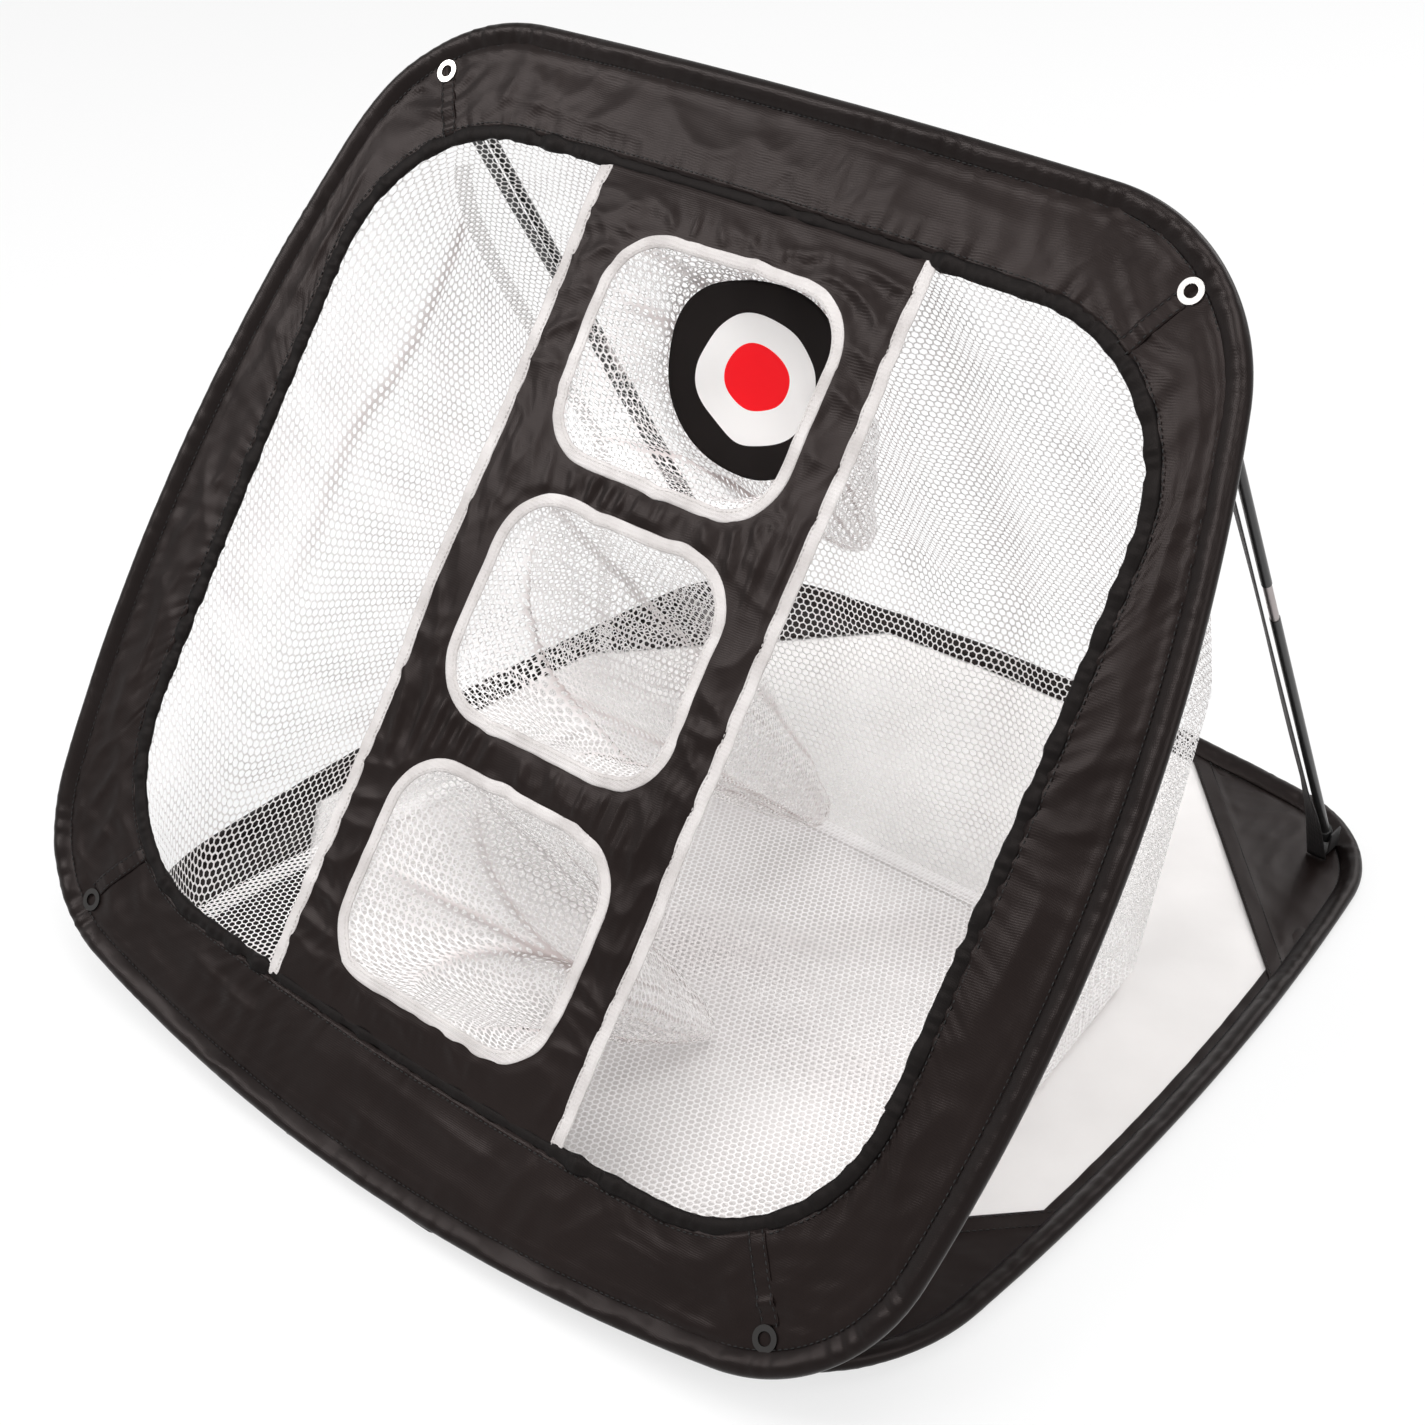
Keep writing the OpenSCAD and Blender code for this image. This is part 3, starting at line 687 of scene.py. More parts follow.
def border_height(u, v, r):
    """How far the border cloth stands out of the panel's plane, for r from 0 at the sleeve to 1
    at the window."""
    u, v, r = np.broadcast_arrays(u, v, r)
    bulge = np.sin(np.clip(r, 0, 1) * math.pi)
    total = 0.9 * bulge + 0.5 * wrinkles(u, v, 5, 190, 90, 5)
    for k, (corner, at) in enumerate(SEAM_AT.items()):
        outer, inner, reach = seam_line[at], window_edge[at], 46 if corner.startswith("top") else 60
        along = (inner - outer) / np.linalg.norm(inner - outer)
        off = (u - outer[0]) * -along[1] + (v - outer[1]) * along[0]
        deep = (u - outer[0]) * along[0] + (v - outer[1]) * along[1]
        near = np.exp(-(np.abs(off) / reach) ** 1.5) * np.exp(-((np.hypot(off, deep - 20) / 90) ** 2))
        fan = deep + 0.32 * np.abs(off)
        total = total + near * 0.85 * crumple(fan, off * 0.3, 60 + 4 * k, 26.0, 0.0, 0.5)
    total = total + 0.70 * crumple(u, v, 6, 48.0) * bulge
    seam_ridge = 0.7 * np.exp(-((r - 0.13) / 0.055) ** 2)
    return (total * np.clip(r * 9, 0, 1) + seam_ridge) * eyelet_dip(u, v)


def quiet_ends(count):
    """1 along the middle of a border piece and 0 at its two seams."""
    k = np.arange(count)
    return np.clip(np.minimum(k, count - 1 - k) / 14, 0, 1)[:, None]


def border_piece(node, start, stop):
    count = (stop - start) % ROUND + 1
    index = (start + np.arange(count)) % ROUND
    r = np.linspace(0, 1, 22)
    under_sleeve = (outer_line + outer_in * (SEAM - 3.6))[index]
    flat = under_sleeve[:, None] * (1 - r[:, None]) + window_edge[index][:, None] * r[:, None]
    u, v = flat[..., 0], flat[..., 1]
    s = run_length(outer_line)[:-1][index][:, None]
    pucker = wrinkles(s + 0 * r, 0 * s + r * 40, 31, 26, 10, 8, 0.0, 0.25)
    edge = (0.6 * np.exp(-r * 7) + 0.6 * np.exp(-(1 - r) * 6)) * np.clip(r * 9, 0, 1)
    lengthwise = crease(wrinkles(s * 0.22, r * 62, 33, 80, 34, 6, 1.3, 0.45))
    lengthwise = lengthwise * np.clip(waver(s, 34, 260, 120, 4) + 0.4, 0, 1)
    extra = pucker * edge + 0.95 * lengthwise * np.sin(r * math.pi) ** 1.5 * quiet_ends(count)
    height = border_height(u, v, r) + extra * eyelet_dip(u, v)
    made = mesh_object(node + "_cloth", on_panel(u, v, height), grid_faces(count, len(r), flip=True),
                       BLACK_TAFFETA)
    thicken(made, 1.0)
    stands_for(made, "panel", node)
    print(node, count, "by", len(r), "points")


for node, start, stop in (("border_right", "low_right", "top_right"),
                          ("border_top", "top_right", "top_left"),
                          ("border_left", "top_left", "low_left"),
                          ("border_bottom", "low_left", "low_right")):
    border_piece(node, SEAM_AT[start], SEAM_AT[stop])

# %% [markdown]
# ## Corner seams and window binding
# Where two border pieces meet, both edges are turned back under a flat felled band with a row of
# stitches on each side. Round the window an elastic binding grips the net and the border, and it
# gathers as it goes, so its inner edge is scalloped and it is crossed by small folds.

# %% Corner seam bands
OUT = np.array([0, -math.sin(LEAN), math.cos(LEAN)])
EYELET_CLEAR = 6.5
SEAM_LINES = []
for corner, at in SEAM_AT.items():
    a, b = seam_line[at], window_edge[at]
    whole = np.linspace(0, 1, 200)
    x, y = EYELETS["top" if corner.startswith("top") else "bottom"]
    from_eyelet = np.linalg.norm(a + (b - a) * whole[:, None] - (math.copysign(x, a[0]), y), axis=1)
    under_eyelet = from_eyelet < EYELET_CLEAR
    r = np.linspace(whole[under_eyelet].max() if under_eyelet.any() else 0.0, 0.98, 26)
    u, v = (a[k] * (1 - r) + b[k] * r for k in (0, 1))
    lift = border_height(u, v, r) + 0.75 + 0.25 * waver(r * 60, 3, 12, 6, 4)
    centre = on_panel(u, v, lift)
    across, out_dir = directions(centre, OUT)
    band = ribbon("corner_seam_" + corner, centre, across, out_dir, 9.5, 0.9, "black_cloth", BLACK_TAFFETA)
    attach(band, "panel")
    SEAM_LINES += [centre + (side * 3.6 * across + 0.5 * out_dir) * MM for side, _ in SIDES]

# %% Window binding
def window_binding():
    """A closed, gathered tube; over the strip, where nothing is gathered, it is thin and even."""
    line, inward = loop_line(WINDOW_LOOP, steps=tuple(3 * k for k in STEPS))
    line = line + np.array([0, WINDOW_MID])
    s, sides = run_length(line)[:-1], 12
    a, b = np.meshgrid(s, np.arange(sides) * 2 * math.pi / sides, indexing="ij")
    gather = wrinkles(a, b * 2, 41, 30, 13, 8, 0.0, 0.3)
    fine = wrinkles(a, b * 2, 43, 9, 5, 6, 0.0, 0.3)
    strength = 0.35 + 0.65 * np.clip(wrinkles(a, 0 * b, 44, 220, 90, 4, 0.0, 0.05), 0, 1)
    scallop = crease(wrinkles(a, 0 * b, 42, 40, 14, 6, 0.0, 0.05)) * strength
    on_mesh = np.clip((np.abs(line[:, 0]) - 100) / 6, 0, 1)[:, None]
    half_w = (4.3 + 0.45 * gather) * (0.62 + 0.38 * on_mesh)
    across = np.sign(np.cos(b)) * np.abs(np.cos(b)) ** 0.7 * half_w
    toward = np.where(np.cos(b) > 0, 0.75 * scallop * np.cos(b), 0) * on_mesh
    flat = line[:, None, :] + inward[:, None, :] * (-3.3 + across + toward)[..., None]
    thick = 2.2 * np.sin(b) * (1 + 0.35 * gather + 0.15 * fine) * (0.35 + 0.65 * on_mesh)
    points = on_panel(flat[..., 0], flat[..., 1], thick + 0.3 * gather)
    made = mesh_object("window_binding_cloth", points, grid_faces(len(s), sides, True, True),
                       BLACK_BINDING, outwards=True)
    stands_for(made, "panel", "window_binding")
    print("window binding %.0f mm round" % run_length(line)[-1])


window_binding()

# %% [markdown]
# ## Centre strip, its edge tapes and the pocket rings
# The strip is one layer of taffeta, cut out for the pockets and bound with white tape along both
# sides and round each hole. Tape is stiffer than taffeta, so the cloth between two holes is
# pulled into puckers. One height function shapes the strip, and the tapes read the same
# function, so they stay on the cloth.

# %% Strip, tapes and rings
def hole_gap(u, v, mid, grow):
    """How far a point of the strip is outside the hole centred at mid, grown by grow all round."""
    w, h, r = HOLE_W / 2 + grow, HOLE_H / 2 + grow, HOLE_R + grow
    return np.hypot(np.maximum(np.abs(u) - (w - r), 0), np.maximum(np.abs(v - mid) - (h - r), 0)) - r


def strip_height(u, v):
    """How far the strip stands out of the panel's plane: puckered between holes, flat at the rings."""
    between = np.zeros(np.broadcast(u, v).shape)
    for upper, lower in zip(HOLES, HOLES[1:]):
        between = between + np.exp(-((v - (upper + lower) / 2) / 22.0) ** 2)
    puckers = crumple(u, v * 0.3, 8, 28.0, 0.1, 0.45)
    slow = wrinkles(u, v, 9, 260, 120, 4)
    sides = crumple(u, v, 10, 30.0, 0.8, 1.3)
    fade = np.clip((110 - np.abs(u)) / 14, 0, 1)
    ends = np.clip((v - 74) / 14, 0, 1) * np.clip((540 - v) / 14, 0, 1)
    for mid in HOLES:
        near_ring = np.clip((hole_gap(u, v, mid, RING_W) + 1) / 7, 0, 1)
        fade = fade * near_ring * near_ring * (3 - 2 * near_ring)
    behind = np.clip((v - 542) / 4, 0, 1) + np.clip((71 - v) / 4, 0, 1)
    folds = 1.5 * puckers * between + 0.85 * sides * (1 - 0.6 * between)
    return folds * fade * ends + 1.0 * slow * ends - 1.7 * behind


STRIP_HALF, STRIP_LOW, STRIP_TOP = 104, 61.5, 551.5
u, v = np.linspace(-STRIP_HALF, STRIP_HALF, 116), np.linspace(STRIP_LOW, STRIP_TOP, 256)
uu, vv = np.meshgrid(u, v, indexing="ij")
mid_u, mid_v = np.meshgrid((u[1:] + u[:-1]) / 2, (v[1:] + v[:-1]) / 2, indexing="ij")
keep = np.all([hole_gap(mid_u, mid_v, mid, 3.2) >= 0 for mid in HOLES], axis=0)
strip = mesh_object("centre_strip_cloth", on_panel(uu, vv, strip_height(uu, vv)),
                    grid_faces(len(u), len(v), keep=keep), BLACK_TAFFETA)
thicken(strip, 0.6)
stands_for(strip, "panel", "centre_strip")
print("strip", len(strip.data.polygons), "faces")


def tape_across(side, v, from_middle):
    """The line of an edge tape wanders a little, and its stitches wander with it."""
    return side * (from_middle + 0.7 * waver(v, 50 + side, 220, 70, 4))


for side, label in reversed(SIDES):
    v = np.linspace(68.5, 545, 240)
    u = tape_across(side, v, 106.0)
    centre = on_panel(u, v, strip_height(u, v) + 0.25 * waver(v, 60 + side, 30, 12, 5))
    width = 8.0 + 0.35 * waver(v, 70 + side, 40, 12, 5)
    tape = ribbon("strip_tape_%s_cloth" % label, centre, *directions(centre, OUT), width, 1.7,
                  "white_tape", WHITE_TAPE)
    stands_for(tape, "panel", "strip_tape_" + label)

# %% Pocket rings
def rounded_rect(w, h, r, count):
    """count points round a rounded rectangle, evenly spaced, from its right side upwards."""
    arcs = []
    for k, (cx, cy) in enumerate(((w - r, h - r), (r - w, h - r), (r - w, r - h), (w - r, r - h))):
        t = np.linspace(0, math.pi / 2, 24) + k * math.pi / 2
        arcs.append(np.stack([cx + r * np.cos(t), cy + r * np.sin(t)], 1))
    line = np.concatenate(arcs)
    s = run_length(line)
    wrapped = np.concatenate([line, line[:1]])
    at = np.arange(count) / count * s[-1]
    return np.stack([np.interp(at, s, wrapped[:, k]) for k in (0, 1)], 1)


# Each tuck of a ring is its place round the seam, from 0 to 1, and how far it stands out.
RING_TUCKS = {"top": ((0.17, 1.2), (0.52, -1.0), (0.71, 1.4)),
              "middle": ((0.12, 1.6), (0.24, -1.3), (0.63, 1.3), (0.80, -1.2)),
              "bottom": ((0.09, -1.4), (0.21, 1.5), (0.57, 1.0), (0.88, -1.0))}
RING_LINES, RING_RIMS = {}, {}
for i, (label, mid) in enumerate(zip(POCKETS, HOLES)):
    line = rounded_rect(HOLE_W / 2 + RING_W / 2, HOLE_H / 2 + RING_W / 2, HOLE_R + 5, 220)
    s = run_length(line)[:-1]
    out = line / np.linalg.norm(line, axis=1)[:, None]
    line = smooth_round(line, 6) + out * (0.8 * waver(s, 80 + i, 200, 90, 4))[:, None]
    past = [(s - at * s[-1], grow) for at, grow in RING_TUCKS[label]]
    line = line + out * sum(np.exp(-((gap / 7.0) ** 2)) * grow for gap, grow in past)[:, None]
    u, v = line[:, 0], line[:, 1] + mid
    step = sum(np.where(gap > 0, np.exp(-gap / 9.0), 0) * abs(grow) for gap, grow in past)
    lift = smooth_round(strip_height(u, v) * 0.8, 60)
    lift = lift + 0.35 * crease(waver(s, 90 + i, 60, 24, 5)) + 0.8 * step
    centre = on_panel(u, v, lift)
    across, out_dir = directions(centre, OUT, closed=True)
    width = RING_W + 0.2 + 0.25 * waver(s, 100 + i, 40, 14, 5)
    ring = ribbon("pocket_ring_%s_cloth" % label, centre, across, out_dir, width, 1.8,
                  "white_tape", WHITE_TAPE, closed=True)
    stands_for(ring, "panel", "pocket_ring_" + label)
    RING_LINES[label], RING_RIMS[label] = (centre, across, out_dir), (u, v, lift)
print("rings", {label: len(rim[0]) for label, rim in RING_RIMS.items()}, "points round")

# %% [markdown]
# ## Pocket bags
# A pocket is a cone of mesh sewn to its ring and drawn together at the end. It hangs: the middle
# line drops as it goes back, the cloth is slack, and lengthwise folds grow towards the tip where
# the same cloth has less room. The bag is a loft of rings along that line. Its UV map measures
# real millimetres of cloth, so the hexagons keep their size.


def net_mesh(name, sheets, material):
    """One mesh of several grids of net; each sheet is its points, its UV map and its fold values."""
    faces, start = [], 0
    for points, _, _ in sheets:
        faces += [tuple(start + k for k in face) for face in grid_faces(*points.shape[:2])]
        start += points.shape[0] * points.shape[1]
    points = np.concatenate([sheet[0].reshape(-1, 3) for sheet in sheets])
    uv = np.concatenate([sheet[1].reshape(-1, 2) for sheet in sheets])
    fold = np.concatenate([np.broadcast_to(sheet[2], sheet[0].shape[:2]).ravel() for sheet in sheets])
    made = mesh_object(name, points, faces, material, uv, fold)
    print(name, "%.4f square metres of net" % sum(p.area for p in made.data.polygons))
    return made, points


def pocket_bag(label, stations, folds, ridges, seam_at, seed):
    """stations are (depth behind the panel, across, height on the panel, half width, half height);
    ridges are folds that stand inwards (angle, place along the bag, turn, share of the width, reach),
    and seam_at is the angle of the seam."""
    u0, v0, lift = RING_RIMS[label]
    mid = HOLES[POCKETS.index(label)]
    around, rows, band_end = len(u0), 92, -14
    t = np.linspace(0, 1, rows)
    stations = np.array(stations, float)
    knots = np.linspace(0, 1, len(stations))
    loft = smooth_open(np.stack([np.interp(t, knots, column) for column in stations.T], 1), 12)
    depth, across, up, half_w, half_h = (column[:, None] for column in loft.T)
    t = t[:, None]
    theta = np.arctan2((v0 - mid) / (HOLE_H / 2), u0 / (HOLE_W / 2))
    rim_x, rim_y = u0 / (HOLE_W / 2 + RING_W / 2), (v0 - mid) / (HOLE_H / 2 + RING_W / 2)
    mix = np.clip(t * 3.0, 0, 1)
    shape_x, shape_y = rim_x * (1 - mix) + np.cos(theta) * mix, rim_y * (1 - mix) + np.sin(theta) * mix
    gathers = crumple(theta * 55, t * 90, seed + 3, 36.0, 0.0, 0.7)
    swing = sum(np.sin(k * theta + p + 1.5 * t) for k, p in folds) / len(folds)
    grow = np.clip(t * 1.6, 0, 1)
    ripple = wrinkles(theta * 45 + 0 * t, t * 200, seed, 60, 22, 8)
    inward, lines = 0, 0
    for at, level, twist, share, reach in ridges:
        gap = (theta - at - twist * (t - level) + math.pi) % (2 * math.pi) - math.pi
        weight = np.exp(-(((t - level) / reach) ** 2))
        inward = inward + share * weight * np.exp(-np.abs(gap) / (0.10 + 0.16 * t))
        lines = lines + weight * np.exp(-((gap / (0.05 + 0.09 * t)) ** 2))
    scale = 1 + (0.15 * swing + 0.04 * ripple) * grow - inward * np.clip(t * 6, 0, 1)
    points = on_panel(across + half_w * shape_x * scale, up + half_h * shape_y * scale,
                      0.8 * lift * (1 - t) - depth)
    points[..., 2] = np.maximum(points[..., 2], (6.2 + swing) * MM)
    run_v = run_length_rows(points)
    shift = -((int(np.argmax(v0)) + around // 2) % around)

    def closed(values):
        """The ring of values cut open along the bag's underside, with its first column repeated."""
        values = np.roll(values, shift, 1)
        return np.concatenate([values, values[:, :1]], 1)

    points = closed(points)
    girth = np.linalg.norm(np.diff(points, axis=1), axis=2)
    run_u = np.concatenate([np.zeros((rows, 1)), np.cumsum(girth, 1)], 1) / MM
    run_u = run_u - run_u[:, around // 2][:, None]
    uv = np.stack([run_u, np.broadcast_to(run_v[:, None], run_u.shape)], -1)
    # Painted shade: the value thickens the threads and darkens their colour along the inward ridges, on the crests
    # of the gathers and towards the tip, and the seam band gets a steady 0.3.
    fold = closed(np.clip(0.80 * lines * np.clip(t * 8, 0, 1)
                          + 0.28 * np.clip((gathers - 0.4) / 0.7, 0, 1) * grow ** 0.5
                          + 0.22 * np.clip(t * 1.4 - 0.7, 0, 1), 0, 1))
    from_seam = np.abs((np.roll(theta, shift) - seam_at + math.pi) % (2 * math.pi) - math.pi)
    column = int(np.argmin(from_seam))
    strip = np.s_[:band_end, max(column - 2, 0):column + 3]
    toward = points.mean(1, keepdims=True)[:band_end] - points[strip]
    band = points[strip] + toward / np.maximum(np.linalg.norm(toward, axis=2), 1e-6)[..., None] * 0.9 * MM
    made, points = net_mesh("pocket_bag_" + label, [(points, uv, fold), (band, uv[strip] + (2.5, 1.4), 0.3)],
                            POCKET_MESH)
    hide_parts("pocket_net_" + label)
    follows_fold(made)


pocket_bag("top", [(1.2, 0, 452, 76, 61), (28, 1, 457, 71, 59), (60, 2, 458, 66, 57), (95, 4, 450, 54, 47),
                   (150, 2, 434, 33, 30), (205, 0, 418, 13, 14), (222, 0, 412, 2, 2)],
           ((2, 0.3), (3, 1.1), (5, 2.0)),
           ((1.9, 0.5, 0.4, 0.10, 0.6), (2.9, 0.5, 0.4, 0.12, 0.6), (4.2, 0.6, 0.4, 0.10, 0.6)), 2.3, 200)
pocket_bag("middle", [(1.2, 0, 306, 76, 61), (30, 2, 303, 69, 55), (80, 4, 296, 57, 48),
                      (150, 6, 284, 40, 38), (225, 4, 268, 24, 26), (285, 2, 254, 11, 14), (302, 0, 249, 2, 2)],
           ((2, 1.0), (3, 0.2), (5, 4.0)),
           ((3.2, 0.17, 6.5, 0.19, 0.28), (0.6, 0.7, 0.4, 0.10, 0.5), (3.9, 0.7, 0.3, 0.08, 0.5),
            (5.0, 0.6, 0.3, 0.12, 0.6)), 2.2, 210)
pocket_bag("bottom", [(1.2, 0, 156, 76, 61), (25, 4, 152, 70, 55), (60, 14, 146, 58, 46),
                      (95, 28, 139, 42, 36), (130, 46, 132, 26, 24), (155, 60, 129, 12, 12), (165, 66, 128, 2, 2)],
           ((2, 2.0), (3, 0.9), (5, 1.0)),
           ((3.3, 0.5, 3.2, 0.24, 0.36), (3.3, 0.5, -2.6, 0.22, 0.36), (3.35, 0.5, 0.3, 0.16, 0.45),
            (1.5, 0.6, 0.4, 0.12, 0.5), (5.2, 0.6, 0.4, 0.14, 0.5)), 2.0, 220)

# %% Target patch
def target_patch():
    """The patch hangs a little out of true, dented at its right side where the bag pinches it."""
    rings, around, radius = 26, 120, 54.5
    rr, aa = np.meshgrid(np.linspace(0.02, 1, rings), np.arange(around) * 2 * math.pi / around, indexing="ij")
    edge = radius + 1.2 * np.sin(3 * aa + 0.6) + 0.8 * np.sin(5 * aa + 2.0)
    x, y = rr * edge * np.cos(aa), rr * edge * np.sin(aa)
    dent = 5.0 * np.exp(-(((x - 44) / 9) ** 2 + ((y + 4) / 7) ** 2))
    ripple = 1.8 * np.sin(x / 24 + 0.4) * np.cos(y / 30) + 0.9 * wrinkles(x, y, 301, 60, 30, 5) - dent
    lean_back, turned = math.radians(8.5), math.radians(13)
    side = np.array([math.cos(turned), math.sin(turned), 0])
    up = np.array([0, math.sin(lean_back), math.cos(lean_back)])
    offset = x[..., None] * side + y[..., None] * up + ripple[..., None] * np.cross(side, up)
    faces = grid_faces(rings, around, loop_cols=True)
    faces.append(tuple(range(around))[::-1])
    made = mesh_object("target_patch_cloth", on_panel(0, 466, -53) + offset * MM, faces,
                       TARGET_PRINT, np.stack([x, y], -1), outwards=True)
    thicken(made, 0.5)
    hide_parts("target_patch")
    follows_fold(made)


target_patch()

# %% [markdown]
# ## The catch net
# One bag of net is sewn round the whole window. Its back falls from the window's top edge, is
# pushed out where the top pocket ends, and meets the ground; its sides close the triangle; its
# floor lies forward to the window's lower edge. Each of the four pieces is a patch stretched
# between its four edges, with slack folds added that die away at the seams.

# %% Patches between four edges
def resample(points, count):
    points = np.asarray(points, float)
    s = run_length(points, closed=False)
    at = np.linspace(0, s[-1], count)
    return np.stack([np.interp(at, s, points[:, k]) for k in range(3)], 1)


def rounded_path(points, count, passes):
    return smooth_open(resample(points, count), passes)


def patch(first, last, left, right):
    """A surface with first and last as its end edges and left and right as its side edges."""
    rows, cols = len(left), len(first)
    s, t = np.linspace(0, 1, cols)[None, :, None], np.linspace(0, 1, rows)[:, None, None]
    ruled = (1 - t) * first[None] + t * last[None] + (1 - s) * left[:, None] + s * right[:, None]
    corners = ((1 - s) * (1 - t) * first[0] + s * (1 - t) * first[-1]
               + (1 - s) * t * last[0] + s * t * last[-1])
    return ruled - corners


def cloth_uv(points):
    """Millimetres of cloth across from the middle column, and down from the first row."""
    right = np.linalg.norm(np.diff(points, axis=1), axis=2)
    u = np.concatenate([np.zeros((points.shape[0], 1)), np.cumsum(right, 1)], 1) / MM
    u = u - u[:, points.shape[1] // 2][:, None]
    return np.stack([u, np.broadcast_to(run_length_rows(points)[:, None], u.shape)], -1)


def net_edge(start, stop, count):
    """The net's edge under the window binding, between two corner seams."""
    at = SEAM_AT[start] + np.linspace(0, (SEAM_AT[stop] - SEAM_AT[start]) % ROUND, count).round().astype(int)
    p = (inner_line - inner_in * 1.5)[at % ROUND]
    return on_panel(p[:, 0], p[:, 1], -2.2)


def bag_depth(points):
    """How far points in metres are behind the panel, in millimetres; never negative."""
    y, z = points[..., 1] / MM, points[..., 2] / MM
    return np.maximum((y - TUBE[0]) * math.sin(LEAN) - (z - TUBE[1]) * math.cos(LEAN), 0)


# Half the bag's width at the panel, how fast it narrows, and the lowest that its net may lie.
BAG_HALF, BAG_TAPER, NET_LOWEST = 264.5, math.tan(math.radians(8.7)), 4.7


def on_side(points, pull):
    """The points moved across to the bag's side. It narrows evenly with depth behind the panel,
    and near the window it is pulled in by pull to meet the window's rounded outline."""
    depth = bag_depth(points)
    x = BAG_HALF - depth * BAG_TAPER - pull * np.exp(-(depth / 45) ** 1.4)
    return np.stack([x * MM, points[..., 1], points[..., 2]], -1)


COLS, ROWS, DEEP = 110, 110, 90
top_edge = net_edge("top_right", "top_left", COLS)
side_edge = net_edge("low_right", "top_right", ROWS)
low_edge = net_edge("low_left", "low_right", COLS)
flip_x = np.array([-1, 1, 1])
side_pull = BAG_HALF - side_edge[:, 0] / MM - bag_depth(side_edge) * BAG_TAPER
# The bag's corners on its side: where its back meets the ground, where the top pocket pushes the
# back out, and where its floor comes down behind the window. Their 200 mm across only spaces the
# points along a seam, because on_side then gives each point its own width.
FOOT, BELLY, FRONT = (np.array([200, y, z]) * MM for y, z in ((85.0, 3.5), (108.0, 192.0), (-235.0, 3.5)))
top_seam = on_side(resample([side_edge[-1], BELLY], DEEP), side_pull[-1])
heel_seam = on_side(resample([FOOT, BELLY], ROWS), 0)
back_seam = on_side(rounded_path([side_edge[-1], BELLY, FOOT], ROWS, 12), side_pull[-1])
floor_seam = on_side(rounded_path([side_edge[0], FRONT, FOOT], ROWS, 12), side_pull[0])
heel = back_seam[-1]
foot_line = heel + (heel * flip_x - heel) * np.linspace(0, 1, COLS)[:, None]


def fade_edges(rows, cols, amount=0.08):
    """1 over the middle of a patch, falling to 0 at its four edges."""
    s, t = np.linspace(0, 1, cols)[None, :], np.linspace(0, 1, rows)[:, None]
    across, along = (np.clip(np.minimum(x, 1 - x) / amount, 0, 1) for x in (s, t))
    return across * along


def surface_out(points):
    n = np.cross(np.gradient(points, axis=1), np.gradient(points, axis=0))
    return n / np.maximum(np.linalg.norm(n, axis=2), 1e-12)[..., None]


# The sides of a patch as slices of its grid, clear of the corners, where seams would stack.
HEMS = {"left": np.s_[5:-5, :4], "right": np.s_[5:-5, -4:], "last": np.s_[-4:, 5:-5]}


def net_piece(label, points, folds, doubled=(), stretch=1.0, shade=0.15, lines=0.0):
    """doubled lists the sides where the net is turned back in a seam."""
    uv = cloth_uv(points) / stretch
    points = points + surface_out(points) * (folds * fade_edges(*folds.shape))[..., None] * MM
    points[..., 2] = np.maximum(points[..., 2], NET_LOWEST * MM)
    # Painted shade: the fold valleys, the lines of pull and the doubled hems darken the threads' colour and
    # thicken them.
    valley_shade = np.clip((folds.mean() - folds) / (1.7 * folds.std()), 0, 1) * shade
    valley_shade = valley_shade * fade_edges(*folds.shape, 0.04)
    sheets = [(points, uv, np.maximum(valley_shade, lines))]
    for hem in (HEMS[side] for side in doubled):
        sheets.append((points[hem] + (0, 0, 0.8 * MM), uv[hem] + (2.3, 1.3), 0.15))
    made, points = net_mesh("catch_net_%s_cloth" % label, sheets, NET_MESH)
    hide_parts("catch_net_" + label)
    follows_fold(made)


# %% The four pieces of the catch net
back = patch(top_edge, foot_line, back_seam, back_seam * flip_x)
s, t = np.meshgrid(np.linspace(-220, 220, COLS), np.linspace(0, 520, ROWS))
hang = wrinkles(s, t * 0.18, 401, 130, 50, 6, 0.0, 0.25) * 4.0 + wrinkles(s, t, 402, 90, 40, 6) * 1.2
net_piece("back", back, hang, ("left", "right"))

for side, label in SIDES:
    wall = patch(resample(floor_seam, DEEP), top_seam, side_edge, heel_seam)
    wall = on_side(wall, side_pull[:, None]) * (side, 1, 1)
    t, s = np.meshgrid(np.linspace(0, 300, DEEP), np.linspace(0, 480, ROWS))
    slack = wrinkles(s * 0.3, t, 411 + side, 150, 60, 5) * 2.5 + wrinkles(s, t, 415 + side, 80, 35, 6) * 1.2
    pull_line = 0.20 - 0.06 * np.sin(s / 480 * 5.0) + 0.02 * np.sin(s / 31)
    pull = 0.6 * np.exp(-((t / 300 - pull_line) / 0.022) ** 2) * np.clip(s / 160 - 1.2, 0, 1)
    net_piece(label, wall, (slack - 3.0 * pull) * side, lines=pull)

ground = patch(low_edge[::-1], foot_line, floor_seam, floor_seam * flip_x)
s, t = np.meshgrid(np.linspace(-230, 230, COLS), np.linspace(0, 400, ROWS))
rumple = 6.0 + 6.5 * wrinkles(s * 0.8, t, 421, 210, 100, 5, 1.1, 0.6)
rumple = rumple + 1.6 * crumple(s, t, 422, 60.0, 1.1, 0.8)
net_piece("floor", ground, rumple, ("left", "right", "last"), 0.92, 0.32)

# %% [markdown]
# ## The base
# The base is the same making as the panel, laid flat: a sleeve round a hoop, a pale ground cloth
# inside it, a black triangle in each corner where the wear is, and a narrow hem between them.

# %% Ground cloth
base_line, base_in = loop_line(BASE_LOOP)
BASE_HALF_W, BASE_HALF_D = BASE_LOOP[:2]
# The slanted hem of a corner patch: which end of the base it is at, how far from the middle it
# meets that end, and how far from the middle it meets the side.
PATCHES = {"back": (1, 104.0, 106.0), "front": (-1, 79.0, 88.0)}


def past_hem(x, y, end, on_end, on_side):
    """How far a point of the base lies under the corner patch, from its slanted hem."""
    across, along = BASE_HALF_W - on_end, BASE_HALF_D - on_side
    gap = (np.abs(x) - on_end) * along + (end * y - BASE_HALF_D) * across
    return gap / math.hypot(across, along)


